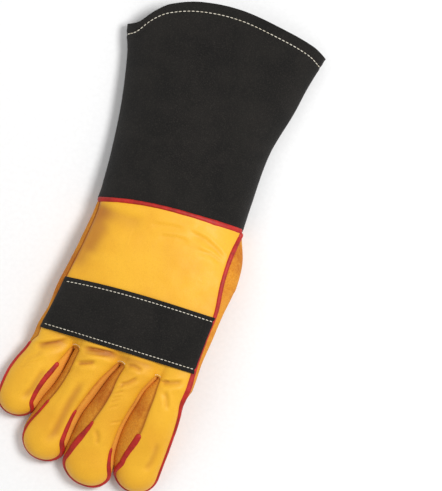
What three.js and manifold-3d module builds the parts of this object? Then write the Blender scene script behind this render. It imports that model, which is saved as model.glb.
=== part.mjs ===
// A suede welding glove for the right hand, lying palm down with its thumb folded under.
// Millimetres. X runs to the thumb side, Y from the fingertips to the cuff mouth, Z up.
// While it is built, Y is 0 at the finger crotches. The finished glove is moved so that
// the bottom centre of its box is the origin.
import * as THREE from 'three';
import Module from 'manifold-3d';
import { mergeVertices } from 'three/addons/utils/BufferGeometryUtils.js';

const wasm = await Module();
wasm.setup();

// Driving dimensions
const PALM_WIDTH = 112; // across the knuckles, from seam to seam
const PALM_LENGTH = 114; // from the finger crotches to the wrist seam
const CUFF_LENGTH = 150; // from the wrist seam to the cuff mouth
const HAND_HEIGHT = 38; // highest point of the lying hand
const LITTLE_LENGTH = 58.5; // crotch to tip
const RING_LENGTH = 82;
const MIDDLE_LENGTH = 88.5;
const INDEX_LENGTH = 81.5;
const THUMB_LENGTH = 51; // free length, from its web to its tip
const THUMB_WIDTH = 42; // flattened
const THUMB_HEIGHT = 15.5; // of the folded thumb under the palm
const SUEDE = 1.8; // thickness of the split leather
const GRAIN = 1.5; // thickness of the smooth leather on the back and on the strap
const CUFF_SUEDE = 2; // thickness of the gauntlet
const BAND_SUEDE = 1.3; // thickness of the knuckle band
const WELT_DIAMETER = 2.5;
const STRAP_WIDTH = 23;
const PATCH_DEPTH = 28; // how far the wrist patch reaches up the cuff
const GAP = 0.3; // between neighbouring pieces

// Numbers of rows and columns that the leather is divided into
const HAND_ROWS = [0, 0.08, 0.17, 0.27, 0.36, 0.45, 0.6, 0.75, 0.88, 1];
const BAND_START = 1; // the band lies between these two of the hand's rows
const BAND_END = 5;
const FINGER_ROWS = [0, 0.09, 0.2, 0.35, 0.5, 0.65, 0.78];
const CAP_ANGLES = [26, 50, 71, 90];
const CUFF_ROWS = 9;
const CUFF_COLUMNS = 16;
const BACK_COLUMNS = 4; // on each finger back
const FRONT_COLUMNS = 4; // on each finger front between fourchettes
const INDEX_COLUMNS = 7; // round the index finger from the back's seam
const LITTLE_COLUMNS = 6; // round the little finger to the back's seam
const FOURCHETTE_COLUMNS = 3;
const WELT_SIDES = 6;

// Shares of the lying form
const CAP_START = FINGER_ROWS[FINGER_ROWS.length - 1];
const SIDE_LEVEL = 0.45; // height of a finger's widest line, as a share of its thickness
const KNUCKLE_BLEND = 0.2; // share of the palm in which the fingers run into the hand
const VALLEY_GAP = 0.2; // what each finger stays clear of the line to its neighbour
const CROTCH_GAP = 1.2; // the same at the crotch, where the leather turns round
const CROTCH_DEPTH = 2; // how far the leather is set back in the crotch
const SEAMS_MEET = (49 * Math.PI) / 180; // turn of a fingertip at which its seams meet
const FLATTENED = 2; // how far the underside is pressed flat where it rests
const FRONT_SEAM = 0.8; // palm-side finger seams, as a share of the half width
const PALM_WELT_AT = 0.035; // the welt at the foot of the middle fronts, share of the palm
const WRIST_TOP = 1.03; // wrist seam height at the thumb side, share of the palm
const WRIST_DROP = 0.11; // how much lower the seam runs at the little finger
const BAND_RISE = 0.048; // how much higher the rows lie at the thumb side, share of the palm
const TIP_TAPER = 0.9; // power by which a tip narrows, below 1 for a blunt tip
const TIP_FALL = 0.7; // and by which it gets thinner
const SIDE_ROUND = 0.9; // power of a finger's rounding, below 1 for a boxy section

// Where the palm rises over the folded thumb: shares of the palm's width and length
const THUMB_SLOPE_FROM = -0.3;
const THUMB_SLOPE_WIDTH = 0.31;
const THUMB_COVER_END = 0.8;
const THUMB_COVER_SLOPE = 0.25;
const STRAP_SLOPE_END = 9; // the palm meets its own level this far beyond the strap
const STRAP_SLOPE = 6; // and rises over the strap within this width
const PATCH_SLOPE_END = 14; // the same for the cuff over the wrist patch
const PATCH_SLOPE = 12;
const PATCH_SIDE = 0.25; // depth of the wrist patch at its two ends, share of its depth
const PATCH_STEPS = 16; // along the arch of the wrist patch
const PATCH_REACH = 0.3; // height up to which the patch is cut out, share of the hand

function table(columns, rows) {
  return rows.map((row) => Object.fromEntries(columns.map((name, k) => [name, row[k]])));
}

// The lines on which neighbouring fingers touch, and the two outer sides. at: distance beyond
// the crotches, as a share of the palm's length. The lines are shares of the palm's width.
const VALLEYS = table(['at', 'line0', 'line1', 'line2', 'line3', 'line4'], [
  [0.000, -0.534, -0.250, 0.057, 0.301, 0.540],
  [0.094, -0.546, -0.260, 0.019, 0.257, 0.511],
  [0.180, -0.578, -0.275, -0.007, 0.239, 0.517],
  [0.265, -0.602, -0.300, -0.032, 0.220, 0.523],
  [0.360, -0.611, -0.338, -0.062, 0.206, 0.525],
  [0.445, -0.611, -0.360, -0.076, 0.204, 0.525],
  [0.540, -0.611, -0.381, -0.085, 0.211, 0.524],
  [0.630, -0.611, -0.383, -0.092, 0.234, 0.524],
  [0.780, -0.611, -0.383, -0.080, 0.252, 0.524],
]);

// Finger sections. at: share of the finger's length. left and right: the seams on the back,
// as shares of the half width. base and crown: underside and top as shares of the hand's
// height.
const FINGER_COLUMNS = ['at', 'left', 'right', 'base', 'crown'];
const FINGERS = {
  little: {
    line: 0,
    length: LITTLE_LENGTH,
    sections: table(FINGER_COLUMNS, [
      [0.00, -0.75, 0.83, 0.00, 0.62],
      [0.25, -0.79, 0.57, 0.00, 0.60],
      [0.50, -0.77, 0.50, 0.00, 0.57],
      [0.78, -0.82, 0.62, 0.00, 0.50],
      [1.00, -0.90, 0.70, 0.00, 0.48],
    ]),
  },
  ring: {
    line: 1,
    length: RING_LENGTH,
    sections: table(FINGER_COLUMNS, [
      [0.00, -0.83, 0.83, 0.28, 0.82],
      [0.25, -0.75, 0.62, 0.16, 0.74],
      [0.50, -0.70, 0.62, 0.04, 0.63],
      [0.78, -0.92, 0.68, 0.00, 0.53],
      [1.00, -0.95, 0.75, 0.00, 0.50],
    ]),
  },
  middle: {
    line: 2,
    length: MIDDLE_LENGTH,
    sections: table(FINGER_COLUMNS, [
      [0.00, -0.80, 0.85, 0.42, 0.93],
      [0.25, -0.42, 0.83, 0.28, 0.86],
      [0.50, -0.40, 0.84, 0.12, 0.74],
      [0.78, -0.76, 0.80, 0.00, 0.58],
      [1.00, -0.85, 0.85, 0.00, 0.54],
    ]),
  },
  index: {
    line: 3,
    length: INDEX_LENGTH,
    sections: table(FINGER_COLUMNS, [
      [0.00, -0.85, 0.72, 0.44, 0.93],
      [0.13, -0.46, 0.84, 0.40, 0.91],
      [0.25, -0.38, 0.87, 0.32, 0.88],
      [0.50, -0.28, 0.88, 0.14, 0.76],
      [0.78, -0.58, 0.88, 0.00, 0.56],
      [1.00, -0.70, 0.90, 0.00, 0.52],
    ]),
  },
};

// Hand sections. at: share of the palm's length. sideLeft and sideRight: the outline, and
// seamLeft and seamRight: the seams of the back, as shares of the palm's width. crown, tilt,
// edgeLeft and edgeRight: heights as shares of the hand's height. round: how boxy.
const HAND_COLUMNS = ['at', 'sideLeft', 'seamLeft', 'seamRight', 'sideRight',
  'crown', 'tilt', 'edgeLeft', 'edgeRight', 'round'];
const HAND = table(HAND_COLUMNS, [
  [0.00, -0.534, -0.498, 0.495, 0.541, 0.87, 0.13, 0.27, 0.60, 0.22],
  [0.17, -0.505, -0.481, 0.502, 0.536, 0.91, 0.12, 0.27, 0.58, 0.21],
  [0.34, -0.495, -0.462, 0.506, 0.545, 0.95, 0.10, 0.28, 0.56, 0.22],
  [0.51, -0.474, -0.444, 0.508, 0.557, 0.97, 0.08, 0.29, 0.50, 0.24],
  [0.69, -0.453, -0.424, 0.482, 0.574, 0.97, 0.05, 0.30, 0.40, 0.28],
  [0.86, -0.436, -0.416, 0.474, 0.556, 0.94, 0.03, 0.31, 0.34, 0.34],
  [1.00, -0.440, -0.432, 0.483, 0.500, 0.92, 0.02, 0.32, 0.32, 0.42],
]);

// Cuff sections. at: share of the cuff's length from the wrist. left and right: the outline
// as shares of the palm's width. crown and edge: top and side seam, shares of hand height.
const CUFF = table(['at', 'left', 'right', 'crown', 'edge', 'round'], [
  [0.00, -0.440, 0.492, 0.92, 0.32, 0.42],
  [0.17, -0.462, 0.484, 0.88, 0.30, 0.48],
  [0.42, -0.512, 0.486, 0.84, 0.28, 0.55],
  [0.64, -0.583, 0.543, 0.80, 0.27, 0.58],
  [0.77, -0.644, 0.568, 0.78, 0.26, 0.60],
  [0.94, -0.650, 0.614, 0.76, 0.26, 0.60],
]);

// The cuff mouth. across: share of the cuff's width. back and front: how far the edge of
// each side lies beyond the wrist, as shares of the cuff's length.
const MOUTH = table(['across', 'back', 'front'], [
  [0.00, 0.769, 0.769],
  [0.06, 0.810, 0.810],
  [0.12, 0.890, 0.862],
  [0.18, 0.942, 0.892],
  [0.32, 0.996, 0.920],
  [0.52, 1.023, 0.930],
  [0.75, 1.003, 0.925],
  [0.92, 0.972, 0.925],
  [1.00, 0.933, 0.933],
]);

// Thumb sections. at: share of the thumb's length from the web. mid: share of the palm's
// width. half: share of the thumb's width.
const THUMB = table(['at', 'mid', 'half'], [
  [0.00, 0.246, 0.525],
  [0.30, 0.194, 0.517],
  [0.55, 0.168, 0.480],
  [0.72, 0.156, 0.410],
  [1.00, 0.140, 0.410],
]);
const THUMB_CAP = 0.72;
const THUMB_ROWS = [0, 0.18, 0.36, 0.54, THUMB_CAP];
const THUMB_WELT_ROW = 2; // the thumb's welt starts at this row
const THUMB_SIDE = 0.5; // height of the thumb's edge, share of its height
const THUMB_FALL = 0.5; // power by which the thumb's tip gets thinner
const THUMB_ROUND = 0.75; // power of the thumb's rounding, below 1 for a boxy section
const THUMB_ANGLES = [180, 165, 145, 120, 90, 60, 35, 15, 0];
const WEB = 0.465; // where the thumb leaves the palm, share of the palm's length
const HEEL_START = 0.67; // above this share the thumb's front runs up to the back's seam
const HEEL_ROWS = [0.465, 0.51, 0.56, 0.61, 0.67, 0.76, 0.86, 0.93, 1];
const HEEL_TURN = 0.65; // share of the heel's girth that lies on the ground
const HEEL_SLOPE = 0.2; // share of it in which the heel comes down from the palm's edge
const HEEL_LEFT = 0.68; // left end of the heel along the wrist, share of the hand's width
const HEEL_WELT_START = 0.59; // the heel's edge is pulled back from the welt above this share
const ROOT_END = 0.82; // the thumb's back reaches this far up inside the heel
const PATCH_START = 0.06; // the wrist patch lies between these shares of the wrist
const PATCH_STOP = 0.88;

// Left edge of the thumb's front in the heel of the hand, and its height there
const HEEL_EDGE = table(['at', 'across', 'height'], [
  [0.40, 0.020, 0.200],
  [0.465, 0.048, 0.200],
  [0.55, 0.064, 0.190],
  [0.66, 0.090, 0.120],
  [0.78, 0.104, 0.040],
  [0.87, 0.140, 0.000],
  [1.00, 0.190, 0.000],
]);

// The web: the edge of the palm round the thumb, and the middle of the strap that backs it.
// across: share of the palm's width. along: share of the palm's length.
const HOLE = table(['across', 'along'], [
  [0.200, 1.06],
  [0.140, 0.87],
  [0.088, 0.77],
  [0.074, 0.69],
  [0.090, 0.61],
  [0.135, 0.55],
  [0.240, 0.51],
  [0.360, 0.50],
  [0.450, 0.525],
  [0.520, 0.59],
]);
const HOLE_END = 0.69; // the palm's side wall runs up to this share of the palm's length
const STRAP = table(['across', 'along'], [
  [0.052, 0.97],
  [0.018, 0.86],
  [-0.008, 0.73],
  [0.004, 0.61],
  [0.055, 0.49],
  [0.150, 0.40],
  [0.290, 0.365],
  [0.420, 0.370],
  [0.505, 0.375],
]);

// Values that follow from the driving dimensions
const WELT_RADIUS = WELT_DIAMETER / 2;
const WELT_PULL = WELT_RADIUS + 1.6 * GAP; // leather stops this far from a welt's middle
const WELT_SINK = 0.3 * WELT_RADIUS; // a welt's middle lies this far under the surface
const SEAM_PULL = GAP / 2 + 0.02; // leather stops this far from a plain seam
const CORNER_PULL = 1.5 * GAP; // and this far where two sheets meet at a sharp bend
const POINT_PULL = 2.8 * WELT_PULL; // and a fourchette's point this far from the welt there
const THUMB_ROOM = THUMB_HEIGHT + GRAIN + 2 * GAP; // the palm lies this high on the thumb
const PATCH_ROOM = SUEDE + GAP; // the cuff is lifted this much by the wrist patch
const STRAP_ROOM = GRAIN + GAP; // and the palm by the strap
const TIP_ROW = FINGER_ROWS.length + CAP_ANGLES.length - 1;
const MEETING_ROW = FINGER_ROWS.length + 1; // the first row in which a finger's seams meet
const HAND_ROWS_DOWN = [...HAND_ROWS].reverse();

function clamp(value, low, high) {
  return Math.min(Math.max(value, low), high);
}

function mix(a, b, share) {
  return a + (b - a) * share;
}

function ease(value) {
  const t = clamp(value, 0, 1);
  return t * t * (3 - 2 * t);
}

function radians(degrees) {
  return (degrees * Math.PI) / 180;
}

// Smooth curve through one column of a table, flat beyond its ends
function read(rows, key, name, value) {
  const last = rows.length - 1;
  const x = clamp(value, rows[0][key], rows[last][key]);
  let k = 0;
  while (k < last - 1 && x > rows[k + 1][key]) {
    k += 1;
  }
  const slope = (i) => {
    const low = rows[Math.max(i - 1, 0)];
    const high = rows[Math.min(i + 1, last)];
    return (high[name] - low[name]) / (high[key] - low[key]);
  };
  const span = rows[k + 1][key] - rows[k][key];
  const t = (x - rows[k][key]) / span;
  const t2 = t * t;
  const t3 = t2 * t;
  return (2 * t3 - 3 * t2 + 1) * rows[k][name] + (t3 - 2 * t2 + t) * span * slope(k)
    + (3 * t2 - 2 * t3) * rows[k + 1][name] + (t3 - t2) * span * slope(k + 1);
}

function readRow(rows, key, value) {
  const names = Object.keys(rows[0]);
  return Object.fromEntries(names.map((name) => [name, read(rows, key, name, value)]));
}

// Smooth line in the plane through a table of places
function route(rows, steps) {
  const places = rows.map((row) => new THREE.Vector3(
    row.across * PALM_WIDTH, row.along * PALM_LENGTH, 0));
  return new THREE.CatmullRomCurve3(places).getPoints(steps);
}

const STRAP_LINE = route(STRAP, 20);
const HOLE_LINE = route(HOLE, 18);

function distanceTo(line, x, y) {
  let best = Infinity;
  for (let k = 1; k < line.length; k += 1) {
    const ax = line[k - 1].x;
    const ay = line[k - 1].y;
    const dx = line[k].x - ax;
    const dy = line[k].y - ay;
    const t = clamp(((x - ax) * dx + (y - ay) * dy) / (dx * dx + dy * dy), 0, 1);
    best = Math.min(best, Math.hypot(x - ax - t * dx, y - ay - t * dy));
  }
  return best;
}

// The line beside another one in the plane, on its right for a positive distance
function beside(line, distance) {
  return line.map((point, k) => {
    const before = line[Math.max(k - 1, 0)];
    const after = line[Math.min(k + 1, line.length - 1)];
    const along = after.clone().sub(before).normalize();
    return new THREE.Vector3(point.x + along.y * distance, point.y - along.x * distance, 0);
  });
}

// Height of the wrist seam above the crotches, at a share of the way across the hand
function wristAt(share) {
  return PALM_LENGTH * (WRIST_TOP - WRIST_DROP * (1 - share) ** 3);
}

// How high the palm's underside lies: on the thumb, on the strap, or on the ground
function palmLayer(x, y) {
  const overThumb = ease((x / PALM_WIDTH - THUMB_SLOPE_FROM) / THUMB_SLOPE_WIDTH);
  const beforeWeb = ease((THUMB_COVER_END - y / PALM_LENGTH) / THUMB_COVER_SLOPE);
  const onThumb = THUMB_ROOM * overThumb * beforeWeb;
  const toStrap = distanceTo(STRAP_LINE, x, y) - STRAP_WIDTH / 2;
  const nearStrap = ease((STRAP_SLOPE_END - toStrap) / STRAP_SLOPE);
  return Math.max(onThumb, STRAP_ROOM * nearStrap);
}

// One point of a section. part is the share of the half width, upper picks the top side.
function sectionPoint(section, y, part, upper, layer) {
  const x = section.mid + section.half * part;
  const fall = Math.max(1 - part * part, 0) ** section.round;
  const side = mix(section.edgeLeft, section.edgeRight, (part + 1) / 2);
  if (upper) {
    const crown = section.crown + section.tilt * part;
    return new THREE.Vector3(x, y, side + (crown - side) * fall);
  }
  const floor = layer(x, y);
  const low = side - (side - floor + FLATTENED) * fall;
  return new THREE.Vector3(x, y, Math.max(low, floor));
}

function handSection(y) {
  const row = readRow(HAND, 'at', y / PALM_LENGTH);
  const width = row.sideRight - row.sideLeft;
  return {
    mid: (row.sideLeft + row.sideRight) * PALM_WIDTH / 2,
    half: width * PALM_WIDTH / 2,
    seamLeft: (2 * row.seamLeft - row.sideLeft - row.sideRight) / width,
    seamRight: (2 * row.seamRight - row.sideLeft - row.sideRight) / width,
    crown: row.crown * HAND_HEIGHT,
    tilt: row.tilt * HAND_HEIGHT,
    edgeLeft: row.edgeLeft * HAND_HEIGHT,
    edgeRight: row.edgeRight * HAND_HEIGHT,
    round: row.round,
  };
}

// A finger's section at a share of its length. In the rounded tip the width and the height
// shrink along a quarter of an ellipse, and the seams run together.
function fingerForm(name, at, turn) {
  const finger = FINGERS[name];
  const values = readRow(finger.sections, 'at', at);
  const y = -finger.length * at;
  const lines = readRow(VALLEYS, 'at', -y / PALM_LENGTH);
  const left = lines[`line${finger.line}`] * PALM_WIDTH;
  const right = lines[`line${finger.line + 1}`] * PALM_WIDTH;
  const gap = mix(CROTCH_GAP, VALLEY_GAP, ease(at / FINGER_ROWS[1]));
  const shrink = Math.max(Math.cos(turn), 0);
  const base = values.base * HAND_HEIGHT - FLATTENED;
  const crown = values.crown * HAND_HEIGHT;
  const side = mix(base, crown, SIDE_LEVEL);
  const narrowing = 1 - ease(turn / SEAMS_MEET);
  return {
    y,
    mid: (left + right) / 2,
    half: ((right - left) / 2 - gap) * shrink ** TIP_TAPER,
    side,
    up: (crown - side) * shrink ** TIP_FALL,
    down: (side - base) * shrink ** TIP_FALL,
    leftTop: mix(Math.PI, Math.acos(values.left), narrowing),
    rightTop: Math.acos(values.right) * narrowing,
    leftLow: Math.PI + Math.acos(FRONT_SEAM) * narrowing,
    rightLow: -Math.acos(FRONT_SEAM) * narrowing,
  };
}

function fingerRow(name, row) {
  if (row < FINGER_ROWS.length) {
    return fingerForm(name, FINGER_ROWS[row], 0);
  }
  const turn = radians(CAP_ANGLES[row - FINGER_ROWS.length]);
  return fingerForm(name, mix(CAP_START, 1, Math.sin(turn)), turn);
}

function fingerPoint(form, angle) {
  const rise = Math.sin(angle);
  const reach = rise > 0 ? form.up : form.down;
  const z = form.side + reach * Math.sign(rise) * Math.abs(rise) ** SIDE_ROUND;
  return new THREE.Vector3(form.mid + form.half * Math.cos(angle), form.y, Math.max(z, 0));
}

// A point of the hand, which runs into a finger's section near the crotch. column says where
// on the hand it lies: on the back, beside one of its seams, or on the palm.
function handPoint(name, angle, y, column) {
  const section = handSection(y);
  const places = {
    back: () => mix(section.seamLeft, section.seamRight, column.share),
    besideLeft: () => mix(section.seamLeft, -1, column.share),
    besideRight: () => mix(section.seamRight, 1, column.share),
    palm: () => column.share,
  };
  const isUpper = column.place !== 'palm';
  const onHand = sectionPoint(section, y, places[column.place](), isUpper, palmLayer);
  const onFinger = fingerPoint(fingerForm(name, 0, 0), angle);
  onFinger.y = y;
  return onFinger.lerp(onHand, ease(y / (KNUCKLE_BLEND * PALM_LENGTH)));
}

// A net holds named points, four-cornered cells of their names, and how far the leather's
// edge is pulled back from its own edge points
function emptyNet() {
  return { points: new Map(), cells: [], pulls: new Map() };
}

// Adds the cells between neighbouring columns of names. turned swaps their winding.
function addCells(net, columns, turned = false) {
  for (let c = 0; c + 1 < columns.length; c += 1) {
    const rows = Math.min(columns[c].length, columns[c + 1].length);
    for (let r = 0; r + 1 < rows; r += 1) {
      const cell = [columns[c][r], columns[c][r + 1], columns[c + 1][r + 1], columns[c + 1][r]];
      net.cells.push(turned ? cell.reverse() : cell);
    }
  }
}

// Closed sheet of leather under a net. outer lifts it off the net and grow widens its edges.
function sheet(net, wall, outer = 0, grow = 0) {
  const numbers = new Map();
  const names = [];
  const number = (name) => {
    if (!numbers.has(name)) {
      numbers.set(name, names.length);
      names.push(name);
    }
    return numbers.get(name);
  };
  const faces = [];
  for (const cell of net.cells) {
    const [a, b, c, d] = cell.map(number);
    for (const face of [[a, b, c], [a, c, d]]) {
      if (new Set(face).size === 3) {
        faces.push(face);
      }
    }
  }
  const places = names.map((name) => net.points.get(name));
  const normals = places.map(() => new THREE.Vector3());
  const edges = new Map();
  for (const [a, b, c] of faces) {
    const ab = places[b].clone().sub(places[a]);
    const ac = places[c].clone().sub(places[a]);
    const normal = ab.cross(ac);
    for (const corner of [a, b, c]) {
      normals[corner].add(normal);
    }
    for (const [from, to] of [[a, b], [b, c], [c, a]]) {
      if (!edges.delete(`${to}>${from}`)) {
        edges.set(`${from}>${to}`, [from, to]);
      }
    }
  }
  normals.forEach((normal) => normal.normalize());
  const rim = [...edges.values()];
  const outward = places.map(() => new THREE.Vector3());
  for (const [from, to] of rim) {
    const along = places[to].clone().sub(places[from]).normalize();
    for (const corner of [from, to]) {
      outward[corner].add(along.clone().cross(normals[corner]).normalize());
    }
  }
  const count = places.length;
  const position = new Float32Array(count * 6);
  places.forEach((place, k) => {
    const pull = net.pulls.get(names[k]) ?? SEAM_PULL;
    const moved = place.clone().addScaledVector(outward[k].normalize(), grow - pull);
    moved.clone().addScaledVector(normals[k], outer).toArray(position, 3 * k);
    moved.addScaledVector(normals[k], outer - wall).toArray(position, 3 * (count + k));
  });
  const triangles = [];
  for (const [a, b, c] of faces) {
    triangles.push(a, b, c, count + a, count + c, count + b);
  }
  for (const [from, to] of rim) {
    triangles.push(from, count + from, to, to, count + from, count + to);
  }
  return new wasm.Manifold(new wasm.Mesh({
    numProp: 3,
    vertProperties: position,
    triVerts: new Uint32Array(triangles),
  }));
}

// The same sheet, thicker by the gap on every side, to cut its neighbours with
function roomOf(net, wall) {
  return sheet(net, wall + 2 * GAP, GAP, GAP);
}

// Where the finger welts start: the first row of each side that has one
const WELT_ROWS = {
  little: { left: 1, right: 2 },
  ring: { left: 4, right: 4 },
  middle: { left: 4, right: 5 },
  index: { left: 4, right: 0 },
};

// The y of a hand row, from the crotches to the slanting wrist seam. The rows of the knuckle
// band rise towards the thumb side.
function rowHeight(row, share) {
  const rise = BAND_RISE * PALM_LENGTH * (share - 0.5);
  return row * wristAt(share) + rise * Math.min(row / HAND_ROWS[BAND_START], 1) * (1 - row);
}

// Columns of names that run from the wrist over the hand and down one finger. seams gives the
// two angles between which the columns are spread, columnOf where a column lies on the hand.
function fingerColumns(net, name, count, seams, columnOf, handRows, lastRow) {
  const root = fingerForm(name, 0, 0);
  return Array.from({ length: count + 1 }, (_, c) => {
    const rootAngle = mix(...seams(root), c / count);
    const column = columnOf(root, rootAngle, name);
    const share = clamp((root.mid + root.half * Math.cos(rootAngle)) / PALM_WIDTH + 0.5, 0, 1);
    const onHand = handRows.map((row) => {
      const key = `${name}:${c}:hand:${row}`;
      net.points.set(key, handPoint(name, rootAngle, rowHeight(row, share), column));
      return key;
    });
    const onFinger = Array.from({ length: lastRow }, (__, r) => {
      const row = r + 1;
      const form = fingerRow(name, row);
      const key = row === TIP_ROW ? `${name}:tip` : `${name}:${c}:finger:${row}`;
      net.points.set(key, fingerPoint(form, mix(...seams(form), c / count)));
      return key;
    });
    return [...onHand, ...onFinger];
  });
}

// Pulls the leather back from a welt along one column, from a finger row to the tip
function pullFromWelt(net, column, handRows, first) {
  column.forEach((key, k) => {
    if (k - handRows + 1 >= first) {
      net.pulls.set(key, WELT_PULL);
    }
  });
}

// A column of points midway between two others. At the crotch it is set back by the depth.
function middleColumn(net, left, right, name, depth) {
  return left.map((key, r) => {
    const point = net.points.get(key).clone().lerp(net.points.get(right[r]), 0.5);
    if (r === left.length - 1) {
      point.y += depth;
    }
    const own = `${name}:${r}`;
    net.points.set(own, point);
    return own;
  });
}

function backColumn(form, angle) {
  const root = handSection(0);
  const low = root.mid + root.half * root.seamLeft;
  const high = root.mid + root.half * root.seamRight;
  const x = form.mid + form.half * Math.cos(angle);
  return { place: 'back', share: clamp((x - low) / (high - low), 0, 1) };
}

// Back of the hand, with its four finger backs or as the band alone
function backNet(handRows, lastRow) {
  const net = emptyNet();
  const count = handRows.length;
  const groups = Object.keys(FINGERS).map((name) => fingerColumns(
    net, name, BACK_COLUMNS, (form) => [form.leftTop, form.rightTop], backColumn,
    handRows, lastRow));
  groups.forEach((group, k) => {
    addCells(net, group);
    if (k > 0) {
      const left = groups[k - 1][BACK_COLUMNS].slice(0, count);
      const right = group[0].slice(0, count);
      const depth = lastRow > 0 ? CROTCH_DEPTH : 0;
      addCells(net, [left, middleColumn(net, left, right, `crotch:${k}`, depth), right]);
    }
  });
  if (lastRow > 0) {
    Object.keys(FINGERS).forEach((name, k) => {
      pullFromWelt(net, groups[k][0], count, WELT_ROWS[name].left);
      pullFromWelt(net, groups[k][BACK_COLUMNS], count, WELT_ROWS[name].right);
    });
  }
  groups[0][0].slice(0, count).forEach((key) => net.pulls.set(key, CORNER_PULL));
  groups[3][BACK_COLUMNS].forEach((key) => net.pulls.set(key, WELT_PULL));
  return net;
}

// Pulls the back of the hand away from the welt of the wrist seam
function pullFromWrist(net) {
  for (const key of net.points.keys()) {
    if (key.endsWith(`:hand:${HAND_ROWS_DOWN[0]}`) || /^crotch:.:0$/.test(key)) {
      net.pulls.set(key, WELT_PULL);
    }
  }
}

// Where on the hand a palm-side angle of a finger's root lies
function palmColumn(form, angle, name) {
  const isUpper = Math.sin(angle) > 0;
  if (isUpper && name === 'index') {
    const share = 1 - Math.sin(angle) / Math.sin(form.rightTop);
    return { place: 'besideRight', share };
  }
  if (isUpper && name === 'little') {
    const share = 1 - Math.sin(angle) / Math.sin(form.leftTop);
    return { place: 'besideLeft', share };
  }
  const hand = handSection(0);
  const x = form.mid + form.half * Math.cos(angle);
  return { place: 'palm', share: clamp((x - hand.mid) / hand.half, -1, 1) };
}

function frontSeams(form) {
  return [form.rightLow, form.leftLow - 2 * Math.PI];
}

// Palm with the fronts of the index and little fingers. The columns run from the thumb-side
// seam under the hand to the seam on the other side.
function palmNet() {
  const net = emptyNet();
  const fullRows = [...HAND_ROWS, PALM_WELT_AT].sort((a, b) => b - a);
  const shortRows = fullRows.filter((row) => row >= PALM_WELT_AT);
  const count = shortRows.length;
  const groups = [
    fingerColumns(net, 'index', INDEX_COLUMNS, (form) => [form.rightTop, frontSeams(form)[1]],
      palmColumn, fullRows, TIP_ROW),
    fingerColumns(net, 'middle', FRONT_COLUMNS, frontSeams, palmColumn, shortRows, 0),
    fingerColumns(net, 'ring', FRONT_COLUMNS, frontSeams, palmColumn, shortRows, 0),
    fingerColumns(net, 'little', LITTLE_COLUMNS,
      (form) => [form.rightLow, form.leftTop - 2 * Math.PI], palmColumn, fullRows, TIP_ROW),
  ];
  groups.forEach((columns, k) => {
    addCells(net, columns);
    if (k > 0) {
      const left = groups[k - 1][groups[k - 1].length - 1].slice(0, count);
      const right = columns[0].slice(0, count);
      addCells(net, [left, middleColumn(net, left, right, `fork:${k}`, 0), right]);
    }
  });
  const littleSeam = groups[3][LITTLE_COLUMNS];
  littleSeam.slice(0, fullRows.length).forEach((key) => net.pulls.set(key, CORNER_PULL));
  net.pulls.set(littleSeam[0], 1.4 * WELT_PULL);
  groups[0][0].forEach((key) => net.pulls.set(key, WELT_PULL));
  pullFromWelt(net, groups[0][INDEX_COLUMNS], fullRows.length, MEETING_ROW);
  pullFromWelt(net, littleSeam, fullRows.length, WELT_ROWS.little.left);
  pullFromWelt(net, groups[3][0], fullRows.length, MEETING_ROW);
  for (const columns of [groups[1], groups[2]]) {
    columns.forEach((keys) => net.pulls.set(keys[count - 1], WELT_PULL));
  }
  net.pulls.set(`fork:2:${count - 1}`, WELT_PULL);
  return net;
}

// Fronts of the ring and middle fingers, joined by a narrow strip above their crotch
function middleFrontNet() {
  const net = emptyNet();
  const rows = [PALM_WELT_AT, 0];
  const groups = ['middle', 'ring'].map((name) => fingerColumns(
    net, name, FRONT_COLUMNS, frontSeams, palmColumn, rows, TIP_ROW));
  groups.forEach((columns) => addCells(net, columns));
  const left = groups[0][FRONT_COLUMNS].slice(0, rows.length);
  const right = groups[1][0].slice(0, rows.length);
  addCells(net, [left, middleColumn(net, left, right, 'fork', CROTCH_DEPTH / 2), right]);
  groups.flat().forEach((keys) => net.pulls.set(keys[0], WELT_PULL));
  net.pulls.set('fork:0', WELT_PULL);
  groups.flatMap((columns) => [columns[0], columns[FRONT_COLUMNS]]).forEach(
    (keys) => pullFromWelt(net, keys, rows.length, MEETING_ROW));
  return net;
}

// Strip between two fingers: up the right side of one, round the crotch and down the left
// side of the next. It narrows to a point where the finger's seams meet.
function fourchetteNet(leftName, rightName) {
  const net = emptyNet();
  const addRow = (name, isEnd, pull, pointAt) => Array.from(
    { length: FOURCHETTE_COLUMNS + 1 }, (_, c) => {
      const key = isEnd ? name : `${name}:${c}`;
      net.points.set(key, pointAt(c / FOURCHETTE_COLUMNS));
      if (c === 0 || isEnd) {
        net.pulls.set(key, pull);
      }
      return key;
    });
  const side = (name, edge, row) => {
    const form = fingerRow(name, row);
    const isWelted = row >= WELT_ROWS[name][edge];
    const isEnd = row === MEETING_ROW;
    const pull = isWelted ? WELT_PULL : SEAM_PULL;
    return addRow(`${edge}:${row}`, isEnd, isEnd ? POINT_PULL : pull,
      (share) => fingerPoint(form, mix(form[`${edge}Top`], form[`${edge}Low`], share)));
  };
  const a = fingerRow(leftName, 0);
  const b = fingerRow(rightName, 0);
  const crotch = addRow('crotch', false, SEAM_PULL, (share) => {
    const from = fingerPoint(a, mix(a.rightTop, a.rightLow, share));
    const to = fingerPoint(b, mix(b.leftTop, b.leftLow, share));
    const middle = from.lerp(to, 0.5);
    middle.y += mix(CROTCH_DEPTH, CROTCH_DEPTH / 2, share);
    return middle;
  });
  const steps = Array.from({ length: MEETING_ROW + 1 }, (_, row) => row);
  const rows = [
    ...[...steps].reverse().map((row) => side(leftName, 'right', row)),
    crotch,
    ...steps.map((row) => side(rightName, 'left', row)),
  ];
  addCells(net, rows[0].map((_, c) => rows.map((keys) => keys[c])), true);
  return net;
}

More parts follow.
